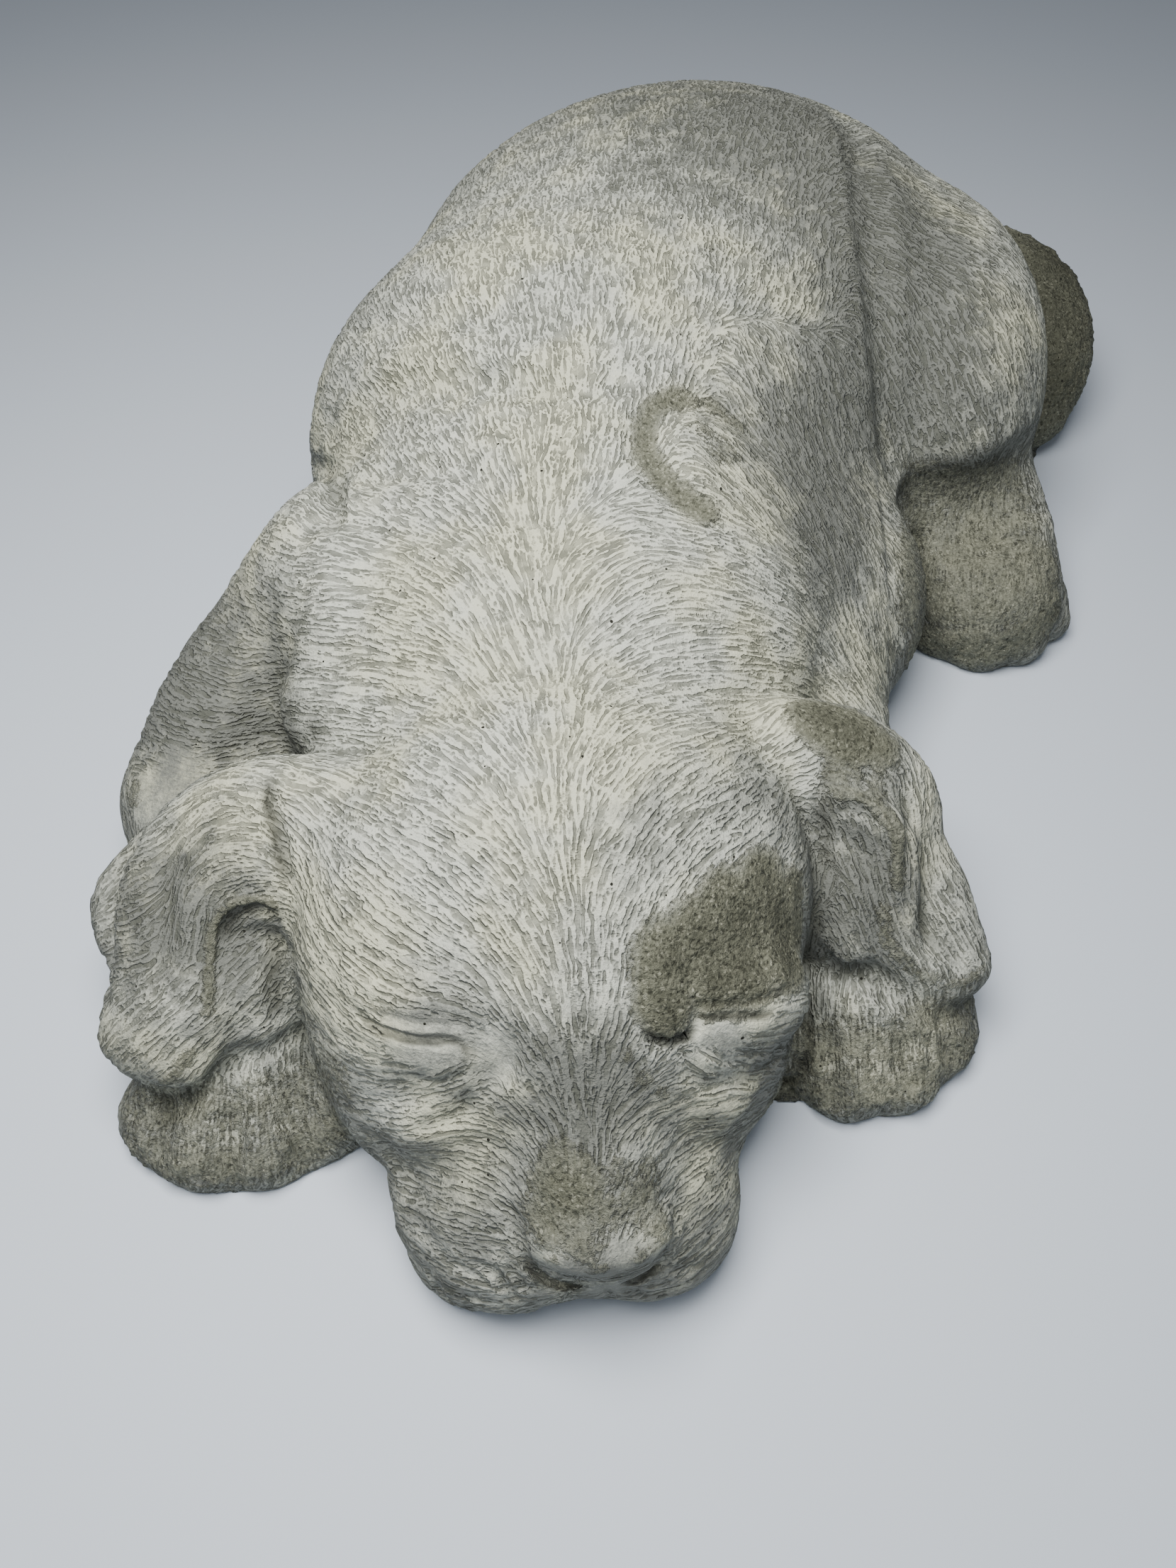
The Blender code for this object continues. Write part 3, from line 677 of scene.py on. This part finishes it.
washAndShadeSpots = (  # place, radius in mm, how much thicker or thinner than elsewhere; these spots also paint in light and shade, darker on surfaces turned from the light and lighter where it falls
    (700, 960, 40, 0.3), (600, 700, 40, 0.15), (560, 1130, 18, 0.2), (1040, 600, 34, -1.1), (1100, 450, 28, -0.5),
    (1000, 170, 45, -1.0), (800, 120, 40, -0.5), (1150, 300, 32, -0.7), (1200, 460, 34, -0.7),
    (1050, 720, 16, -0.4), (280, 880, 34, -0.85), (210, 800, 24, -0.6), (330, 740, 16, -0.1), (250, 1130, 18, -0.8),
    (170, 1170, 17, -0.6), (190, 1320, 15, -0.15), (310, 1230, 12, -0.5), (745, 1360, 17, -0.6),
    (745, 1440, 16, -0.5), (600, 1540, 18, -0.3), (890, 1540, 16, -0.2), (600, 1650, 15, 0.3),
    (830, 1050, 18, -0.6), (960, 1000, 14, -0.5), (1100, 1130, 17, -1.1), (1120, 960, 13, -0.6),
    (1210, 1190, 14, 0.05), (540, 1280, 11, -0.6), (500, 1400, 16, 0.15), (560, 1340, 8, -0.2),
    (760, 1605, 8, -0.3), (1000, 1350, 11, -0.8), (450, 350, 30, -0.4), (300, 1430, 26, 0.3), (1120, 1350, 24, 0.3),
    (470, 560, 20, -0.25), (700, 1150, 14, -0.2), (800, 300, 30, -0.2), (530, 200, 35, -0.35),
)

rockySpots = (  # place and radius in mm
    (170, 1470, 10), (230, 1500, 10), (300, 1500, 10), (370, 1480, 10), (430, 1445, 9), (1010, 1400, 9),
    (1060, 1410, 10), (1120, 1410, 10), (1180, 1390, 10), (1240, 1330, 10), (1170, 830, 14), (1230, 830, 14),
    (1290, 825, 14), (1345, 780, 14), (1190, 740, 11), (1260, 740, 12), (1330, 710, 11), (1330, 650, 10),
    (1340, 400, 36), (1345, 470, 30), (1350, 330, 30), (590, 1690, 6), (640, 1700, 5), (120, 1380, 5),
    (250, 1455, 9), (335, 1450, 9), (180, 1430, 7), (1090, 1375, 8), (1190, 1345, 8), (1030, 1370, 7),
)


# Painted shade, with some dirt, along the eye slits, the nostrils and the creases of the ears
shadeAndDirtLines = (  # a row of places, half width in mm, how dark
    ([(466, 1306), (480, 1315), (497, 1321), (520, 1328), (548, 1330), (568, 1329), (588, 1333), (602, 1347)],
     0.6, 0.8),
    ([(895, 1299), (925, 1297), (945, 1296), (968, 1297), (985, 1294)], 0.75, 0.8),
    ([(900, 1283), (935, 1281), (957, 1280), (975, 1274), (1004, 1262)], 0.7, 0.45),
    ([(830, 1322), (845, 1330), (862, 1331), (880, 1322)], 1.2, 0.6),
    ([(674, 1614), (686, 1629), (702, 1639), (720, 1644), (738, 1643)], 1.1, 0.8),
    ([(802, 1639), (817, 1633), (834, 1624)], 1.1, 0.7),
    ([(343, 1000), (341, 1020), (345, 1045), (352, 1070), (355, 1090), (360, 1110)], 1.3, 0.8),
    ([(350, 1166), (330, 1162), (312, 1163), (298, 1172), (287, 1192)], 1.6, 0.6),
    ([(350, 1190), (350, 1240), (354, 1285)], 2.2, 0.5),
    ([(1057, 980), (1051, 1000), (1049, 1030), (1052, 1060), (1055, 1100)], 1.3, 0.45),
)


def creaseShadeAndDirt(forms, points):
    shadeAndDirt = np.zeros(len(points))
    for places, width, amount in shadeAndDirtLines:
        gaps = limb(np.column_stack([seenOn(forms, smoothLine(places, 4)), np.zeros(4 * len(places) - 3)]), steps=1)
        shadeAndDirt = np.maximum(shadeAndDirt, amount * np.exp(-(gaps["distance"](points) / width) ** 2))
    return shadeAndDirt


def overSpots(forms, points, spots, rule):  # rule takes every point's squared gap to each spot, in its radii
    rows = np.array(spots, float)
    centres = seenOn(forms, rows[:, :2])
    return np.concatenate([
        rule(squaredGaps(part, centres) / rows[:, 2] ** 2, rows) for part in np.array_split(points, 20)
    ])


def hairiness(forms, points):
    gaps = overSpots(forms, points, smoothSpots, lambda gaps, rows: np.sqrt(np.maximum(gaps, 0).min(1)))
    return np.clip((gaps - 0.75) / 0.5, 0.15, 1)


def bareness(forms, points):
    spots = list(bareSpots)
    for places, radius, strength in bareBands:
        spots += [(x, y, radius, strength) for x, y in smoothLine(places, 4)]
    bare = overSpots(forms, points, spots, lambda gaps, rows: (rows[:, 3] - 0.55 - 0.9 * gaps).max(1))
    ground = 0.25 - points[:, 2] / 5.0  # the rough edge along the ground, a few millimetres high
    return np.clip(np.maximum(bare, ground), -1, 1.5)


def washThicknessAndShade(forms, points, normals):  # brushed on from above: it is thin low down and underneath; this is also painted shade, with faces turned up lighter and low sides and undersides darker
    above = np.clip(normals[:, 2] + 0.25, 0, 1)
    washAndShade = above * np.clip(0.1 + points[:, 2] / 70, 0, 1)
    return washAndShade + overSpots(forms, points, washAndShadeSpots, lambda gaps, rows: np.exp(-gaps) @ rows[:, 3])


def rockiness(forms, points):
    return overSpots(forms, points, rockySpots, lambda gaps, rows: np.exp(-gaps.min(1)))


def hollowness(mesh, points, normals, rounds=24):  # how deep a point lies below the skin smoothed around it
    edges = np.empty(len(mesh.edges) * 2, np.int32)
    mesh.edges.foreach_get("vertices", edges)
    a, b = edges[0::2], edges[1::2]
    count = np.bincount(edges, minlength=len(points)).astype(float)
    smooth = points.copy()
    for _ in range(rounds):
        total = np.zeros_like(smooth)
        for axis in range(3):
            total[:, axis] = np.bincount(a, smooth[b, axis], len(points))
            total[:, axis] += np.bincount(b, smooth[a, axis], len(points))
        smooth = 0.4 * smooth + 0.6 * total / np.maximum(count, 1)[:, None]
    return ((smooth - points) * normals).sum(1)


def setAttribute(mesh, name, values):
    kind, field = ("FLOAT_VECTOR", "vector") if values.ndim == 2 else ("FLOAT", "value")
    layer = mesh.attributes.new(name, kind, "POINT")
    layer.data.foreach_set(field, values.astype(np.float32).ravel())


def markSkin(piece, clay):
    mesh = piece.data
    points = toCarving(getPoints(mesh))
    normals = np.empty(len(mesh.vertices) * 3, np.float32)
    mesh.vertices.foreach_get("normal", normals)
    normals = normals.reshape(-1, 3).astype(float)
    headGap = np.linalg.norm((points - np.array(skin["headCentre"])) / np.array(skin["headReach"]), axis=1)
    for name, values in {
        "hairFlow": hairFlow(clay, points, normals),
        "bare": bareness(clay, points),
        "hairy": hairiness(clay, points),
        "washAndShade": washThicknessAndShade(clay, points, normals),
        "rocky": rockiness(clay, points),
        "shadeAndDirt": creaseShadeAndDirt(clay, points),
        "hollow": hollowness(mesh, points, normals),
        "headShare": np.clip(2.2 - 1.4 * headGap, 0, 1),
    }.items():
        setAttribute(mesh, name, values)


markSkin(statue, clay)
report("hair combed and bare spots marked")


# Nodes


def addNode(tree, kind, inputs=None, **settings):  # a node, its settings, and what goes into it
    node = tree.nodes.new(kind)
    for name, value in settings.items():
        setattr(node, name, value)
    for name, value in (inputs or {}).items():
        if isinstance(value, bpy.types.Node):
            value = next(socket for socket in value.outputs if socket.enabled)
        if isinstance(value, bpy.types.NodeSocket):
            tree.links.new(value, node.inputs[name])
        else:
            node.inputs[name].default_value = value
    return node


def combedNoise(add, place, flow, waves, grain, length, taps):  # smeared along wavy hair, 0.5 on average
    wave = add("ShaderNodeTexNoise", {"Vector": place, "Scale": waves, "Detail": 2.0}).outputs["Color"]
    wave = add("ShaderNodeVectorMath", {0: wave, 1: (0.5, 0.5, 0.5)}, operation="SUBTRACT")
    wavy = add("ShaderNodeVectorMath", {0: wave, 1: (0.85, 0.85, 0.85), 2: flow}, operation="MULTIPLY_ADD")
    total = None
    for i in range(taps):
        shift = length * (i / (taps - 1) - 0.5)
        at = add("ShaderNodeVectorMath", {0: wavy, 1: (shift, shift, shift), 2: place}, operation="MULTIPLY_ADD")
        noise = add("ShaderNodeTexNoise", {"Vector": at, "Scale": 1 / grain, "Detail": 0.0})
        total = noise if total is None else add("ShaderNodeMath", {0: total, 1: noise})
    return add("ShaderNodeMath", {0: total, 1: 1 / taps}, operation="MULTIPLY")


def varied(add, value, changes):  # a value and noises that are added to it, each centred on 0
    for noise, share in changes:
        change = add("ShaderNodeMath", {0: noise, 1: share, 2: -share / 2}, operation="MULTIPLY_ADD")
        value = add("ShaderNodeMath", {0: value, 1: change})
    return value


# Carving: the strokes wide enough for the mesh to hold are cut into it, the finer ones are the material's bump

carving = {
    "Head depth": 0.5,  # mm
    "Body depth": 0.45,
    "Crust": 0.5,  # mm that broken, bare concrete stands up
    "Crumbs": 2.3,  # mm from the lowest to the highest crumb, at most
    "Rocks": 5.0,  # mm, the same for the lumps on the feet and tail
    "Seed": 7.0,
}


def makeCarving(material):
    tree = bpy.data.node_groups.new("carveHair", "GeometryNodeTree")
    add = partial(addNode, tree)
    tree.interface.new_socket("Geometry", in_out="INPUT", socket_type="NodeSocketGeometry")
    for name in carving:
        tree.interface.new_socket(name, in_out="INPUT", socket_type="NodeSocketFloat")
    tree.interface.new_socket("Geometry", in_out="OUTPUT", socket_type="NodeSocketGeometry")
    given = add("NodeGroupInput").outputs
    calc, ranged = "ShaderNodeMath", "ShaderNodeMapRange"

    position = add("GeometryNodeInputPosition")
    place = add("ShaderNodeVectorMath", {0: position, "Scale": 1000.0}, operation="SCALE")  # mm
    seeded = add("ShaderNodeVectorMath", {0: place, 1: given["Seed"]})
    read = {}
    for name in ("hairFlow", "bare", "hairy", "headShare", "rocky"):
        kind = "FLOAT_VECTOR" if name == "hairFlow" else "FLOAT"
        read[name] = add("GeometryNodeInputNamedAttribute", {"Name": name}, data_type=kind).outputs["Attribute"]

    # wavy strokes about 2 mm apart
    combed = combedNoise(add, seeded, read["hairFlow"], waves=1 / 5.0, grain=2.0, length=10.0, taps=11)
    stroke = add(ranged, {0: combed, 1: 0.44, 2: 0.54}, interpolation_type="SMOOTHSTEP")
    depth = add(ranged, {0: read["headShare"], 3: given["Body depth"], 4: given["Head depth"]})
    kept = add(ranged, {0: read["bare"], 1: -0.3, 2: 0.2, 3: 1.0, 4: 0.2})
    hair = stroke
    for share in (depth, kept, read["hairy"]):
        hair = add(calc, {0: hair, 1: share}, operation="MULTIPLY")

    # crumbs where the wash is gone, in the same patches as in the material
    fray = add("ShaderNodeTexNoise", {"Vector": place, "Scale": 0.3, "Detail": 4.0, "Roughness": 0.65})
    broken = add(ranged, {0: varied(add, read["bare"], [(fray, 1.2)]), 1: -0.1, 2: 0.25})
    crumb = add("ShaderNodeTexNoise", {"Vector": seeded, "Scale": 0.55, "Detail": 3.0, "Roughness": 0.6})
    crumb = add(calc, {0: crumb, 1: -0.5})
    crust = add(calc, {0: crumb, 1: given["Crumbs"], 2: given["Crust"]}, operation="MULTIPLY_ADD")
    crust = add(calc, {0: crust, 1: broken}, operation="MULTIPLY")

    # lumps on feet and tail, and a slight unevenness everywhere
    rock = add("ShaderNodeTexNoise", {"Vector": seeded, "Scale": 0.19, "Detail": 4.0, "Roughness": 0.6})
    rock = add(calc, {0: rock, 1: -0.56})
    for share in (given["Rocks"], read["rocky"]):
        rock = add(calc, {0: rock, 1: share}, operation="MULTIPLY")
    swell = add("ShaderNodeTexNoise", {"Vector": seeded, "Scale": 0.09, "Detail": 2.0})
    swell = add(calc, {0: swell, 1: 1.0, 2: -1.25}, operation="MULTIPLY_ADD")

    total = hair
    for more in (crust, rock, swell):
        total = add(calc, {0: total, 1: more})
    # the flat underside hardly moves; the top end of the range turns millimetres into metres
    height = add("ShaderNodeSeparateXYZ", {0: place}).outputs["Z"]
    free = add(ranged, {0: height, 1: 0.3, 2: 2.5, 4: 0.001})
    metres = add(calc, {0: total, 1: free}, operation="MULTIPLY")
    normal = add("GeometryNodeInputNormal")
    move = add("ShaderNodeVectorMath", {0: normal, "Scale": metres}, operation="SCALE")
    carved = add("GeometryNodeSetPosition", {"Geometry": given["Geometry"], "Offset": move})
    real = add("GeometryNodeRealizeInstances", {"Geometry": carved})
    finished = add("GeometryNodeSetMaterial", {"Geometry": real, "Material": material})
    add("NodeGroupOutput", {"Geometry": finished})
    return tree


def carve(piece, material):
    tree = makeCarving(material)
    modifier = piece.modifiers.new("carve", "NODES")
    modifier.node_group = tree
    for item in tree.interface.items_tree:
        if item.in_out == "INPUT" and item.name in carving:
            modifier[item.identifier] = carving[item.name]
    applied(piece)


def thin(piece):
    group = piece.vertex_groups.new(name="detail")
    share = np.empty(len(piece.data.vertices), np.float32)
    piece.data.attributes["headShare"].data.foreach_get("value", share)
    for step in range(0, 11):
        members = np.flatnonzero(np.round(share * 10) == step)
        group.add(members.tolist(), 1.0 - skin["headShare"] * step / 10, "REPLACE")
    thinner = piece.modifiers.new("thin", "DECIMATE")
    thinner.ratio = min(1.0, skin["triangles"] / (2 * len(piece.data.polygons)))
    thinner.vertex_group = "detail"
    thinner.vertex_group_factor = 4e-6  # a heavier weight would leave nothing on the back
    applied(piece)
    piece.vertex_groups.clear()


# Materials


def toLinear(hexColour):  # sRGB hex to linear
    values = [int(hexColour[i : i + 2], 16) / 255 for i in (1, 3, 5)]
    return (*[v / 12.92 if v <= 0.04045 else ((v + 0.055) / 1.055) ** 2.4 for v in values], 1.0)


finish = {
    "washRaised": "#d4d7cb",  # limewash on the tops of the strokes
    "washCream": "#d7d6b8",  # where it is thick and has yellowed
    "thinWashAndShade": "#7b7d77",  # where it is thin, and painted shade on surfaces turned from the light
    "groove": "#56584f",  # dirt and painted shade in the grooves and hollows
    "cement": "#7a7b6b",
    "crumbDark": "#3b3c32",
    "sandLight": "#a4a492",
    "hole": "#2b2b25",
    "hairGrain": 0.8,  # mm, gives grooves about 1.2 mm apart
    "hairLength": 7.5,  # mm on the head
    "sandSize": 0.6,  # mm
    "holeSpacing": 5.5,  # mm
    "relief": 0.0006,  # m of bump
    "roughness": 0.92,
}


def makeConcrete():
    # Cast sand and cement under a worn limewash brushed on from above: matt, chalky on the strokes, gritty where
    # bare. Shade is painted into the grooves, hollows and creases, and light and shade into the wash
    material = bpy.data.materials.new("limewashed cast concrete")
    material.use_nodes = True
    tree = material.node_tree
    add = partial(addNode, tree)
    shader = tree.nodes["Principled BSDF"]
    calc, ranged, mix, soft = "ShaderNodeMath", "ShaderNodeMapRange", "ShaderNodeMix", "SMOOTHSTEP"
    colours = {name: toLinear(value) for name, value in finish.items() if isinstance(value, str)}

    inObject = add("ShaderNodeTexCoord").outputs["Object"]
    place = add("ShaderNodeVectorMath", {0: inObject, "Scale": 1000.0}, operation="SCALE")  # mm
    flow = add("ShaderNodeAttribute", attribute_name="hairFlow").outputs["Vector"]
    bare, hollow, washAndShade, hairy, shadeAndDirt = [
        add("ShaderNodeAttribute", attribute_name=name).outputs["Fac"]
        for name in ("bare", "hollow", "washAndShade", "hairy", "shadeAndDirt")
    ]
    noise = {}
    for name, scale, detail, roughness in (  # scales are per mm
        ("patchy", 0.035, 3.0, 0.5), ("mottle", 0.14, 3.0, 0.6), ("comeAndGo", 0.22, 2.0, 0.5),
        ("fray", 0.3, 4.0, 0.65), ("fine", 0.9, 3.0, 0.7), ("pits", 0.8, 3.0, 0.65), ("speck", 1.5, 2.0, 0.7),
    ):
        inputs = {"Vector": place, "Scale": scale, "Detail": detail, "Roughness": roughness}
        noise[name] = add("ShaderNodeTexNoise", inputs)

    # grooves between the wavy strokes: 1 in the deepest
    combed = combedNoise(add, place, flow, 0.28, finish["hairGrain"], finish["hairLength"], 15)
    groove = add(ranged, {0: combed, 1: 0.45, 2: 0.525, 3: 1.0, 4: 0.0}, interpolation_type=soft)
    here = add(ranged, {0: noise["comeAndGo"], 1: 0.35, 2: 0.6, 3: 0.6, 4: 1.0})
    for share in (here, hairy):
        groove = add(calc, {0: groove, 1: share}, operation="MULTIPLY")

    # the wash, whiter where it is thick and where light is painted in, darker where shade is painted in, in patches
    # of a few centimetres, a few millimetres and single grains
    shares = (("patchy", 0.8), ("mottle", 1.1), ("fine", 0.8), ("speck", 0.6))
    thickAndLit = varied(add, washAndShade, [(noise[name], share) for name, share in shares])
    cream = add(ranged, {0: noise["patchy"], 1: 0.4, 2: 0.66, 4: 0.75}, interpolation_type=soft)
    raised = add(mix, {0: cream, 6: colours["washRaised"], 7: colours["washCream"]}, data_type="RGBA")
    coverAndLight = add(ranged, {0: thickAndLit, 1: 0.0, 2: 1.1}, interpolation_type=soft)
    washed = add(mix, {0: coverAndLight, 6: colours["thinWashAndShade"], 7: raised}, data_type="RGBA")
    # painted shade with dirt: the grooves between the strokes and the hollows are darkened towards the groove colour
    grooveShadeAndDirt = add(calc, {0: groove, 1: 0.8}, operation="MULTIPLY")
    hollowShadeAndDirt = add(ranged, {0: hollow, 1: 0.08, 2: 1.0, 4: 0.7}, interpolation_type=soft)
    for amount in (grooveShadeAndDirt, hollowShadeAndDirt):
        washed = add(mix, {0: amount, 6: washed, 7: colours["groove"]}, data_type="RGBA")

    # bare concrete: sand grains, each with its own grey, and dark gaps between the crumbs
    sand = add("ShaderNodeTexVoronoi", {"Vector": place, "Scale": 1 / finish["sandSize"]})
    grain = add("ShaderNodeSeparateColor", {0: sand.outputs["Color"]}).outputs
    dark = add(ranged, {0: grain[0], 4: 0.5})
    light = add(ranged, {0: grain[1], 1: 0.86, 2: 0.98, 4: 0.8})
    gap = add(ranged, {0: noise["pits"], 1: 0.36, 2: 0.48, 3: 0.9, 4: 0.0}, interpolation_type=soft)
    damp = add(ranged, {0: bare, 1: 0.85, 2: 1.4, 4: 0.62})  # darkest where it was never washed
    grit = colours["cement"]
    for amount, over in ((dark, "crumbDark"), (light, "sandLight"), (gap, "crumbDark"), (damp, "crumbDark")):
        grit = add(mix, {0: amount, 6: grit, 7: colours[over]}, data_type="RGBA")

    # where the wash is gone; patchy places keep some of it between the grains
    worn = varied(add, bare, [(noise["fray"], 1.2), (noise["fine"], 1.5)])
    isBare = add(ranged, {0: worn, 1: -0.12, 2: 0.2}, interpolation_type=soft)
    share = add(ranged, {0: bare, 1: 0.1, 2: 0.7, 3: 0.62, 4: 1.0})
    share = add(calc, {0: isBare, 1: share}, operation="MULTIPLY")
    colour = add(mix, {0: share, 6: washed, 7: grit}, data_type="RGBA")

    # pinholes left by air in the mix, and painted shade with some dirt in the sharpest lines
    air = add("ShaderNodeTexVoronoi", {"Vector": place, "Scale": 1 / finish["holeSpacing"]})
    size = add("ShaderNodeSeparateColor", {0: air.outputs["Color"]}).outputs[1]
    limit = add(ranged, {0: size, 1: 0.5, 4: 0.085})
    hole = add(calc, {0: air.outputs["Distance"], 1: limit}, operation="LESS_THAN")
    for amount in (shadeAndDirt, hole):
        colour = add(mix, {0: amount, 6: colour, 7: colours["hole"]}, data_type="RGBA")
    tree.links.new(colour.outputs[2], shader.inputs["Base Color"])

    # relief: fine strokes where there is wash, grit where it is bare, grains everywhere
    smoothed = add(ranged, {0: isBare, 3: -1.0, 4: -0.15})
    relief = add(calc, {0: groove, 1: smoothed}, operation="MULTIPLY")
    rough = add(ranged, {0: isBare, 3: 0.35, 4: 1.9})
    for height, share in ((noise["pits"], rough), (noise["speck"], 0.6), (hole, -1.5)):
        relief = add(calc, {0: height, 1: share, 2: relief}, operation="MULTIPLY_ADD")
    bump = add("ShaderNodeBump", {"Height": relief, "Distance": finish["relief"], "Strength": 1.0})
    tree.links.new(bump.outputs["Normal"], shader.inputs["Normal"])
    shader.inputs["Roughness"].default_value = finish["roughness"]
    shader.inputs["Specular IOR Level"].default_value = 0.25
    return material


concrete = makeConcrete()
carve(statue, concrete)
report(f"hair carved: {len(statue.data.vertices)} points")
thin(statue)
report(f"thinned: {len(statue.data.polygons)} triangles")
statue.data.shade_smooth()
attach(statue, "root")
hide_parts("puppy")


# Floor, light and camera

studio = {
    "floor": "#dde6f2",
    "sky": "#dfe5ee",
    "skyStrength": 0.16,
    "lights": (  # name, size in m, watts, place, where it points, colour
        ("overhead", (0.3, 0.3), 4.1, (-0.1, -0.14, 0.52), (-0.05, -0.06, 0), (1.0, 0.99, 0.96)),
        ("front fill", (1.2, 0.6), 1.3, (0.1, -1.1, 0.5), (0.0, -0.5, 0), (0.94, 0.97, 1.0)),
    ),
}


def makeFloor():
    mesh = bpy.data.meshes.new("floor")
    mesh.from_pydata([(-4, -4, 0), (4, -4, 0), (4, 4, 0), (-4, 4, 0)], [], [(0, 1, 2, 3)])
    floor = bpy.data.objects.new("floor", mesh)
    bpy.context.scene.collection.objects.link(floor)
    paper = bpy.data.materials.new("matt table top")
    paper.use_nodes = True
    shader = paper.node_tree.nodes["Principled BSDF"]
    shader.inputs["Base Color"].default_value = toLinear(studio["floor"])
    shader.inputs["Roughness"].default_value = 0.6
    mesh.materials.append(paper)


def addLight(name, size, power, place, target, colour):
    lamp = bpy.data.lights.new(name, "AREA")
    lamp.shape, lamp.size, lamp.size_y = "RECTANGLE", size[0], size[1]
    lamp.energy, lamp.color = power, colour
    light = bpy.data.objects.new(name, lamp)
    light.location = place
    light.rotation_euler = (Vector(target) - Vector(place)).to_track_quat("-Z", "Y").to_euler()
    bpy.context.scene.collection.objects.link(light)


makeFloor()
for row in studio["lights"]:
    addLight(*row)
world = bpy.data.worlds.new("studio")
world.use_nodes = True
background = world.node_tree.nodes["Background"]
background.inputs["Color"].default_value = toLinear(studio["sky"])
background.inputs["Strength"].default_value = studio["skyStrength"]
bpy.context.scene.world = world

lens = bpy.data.cameras.new("camera")
lens.lens, lens.sensor_width, lens.sensor_fit = view["lens"], 36.0, "AUTO"
lens.clip_start = 0.01
camera = bpy.data.objects.new("camera", lens)
camera.location = Vector((*[-c for c in pose["carvedCentre"]], view["height"])) * metresPerMm
camera.rotation_euler = (math.radians(90 - view["pitch"]), 0, 0)
bpy.context.scene.collection.objects.link(camera)
bpy.context.scene.camera = camera
report("studio set")

bpy.context.view_layer.update()
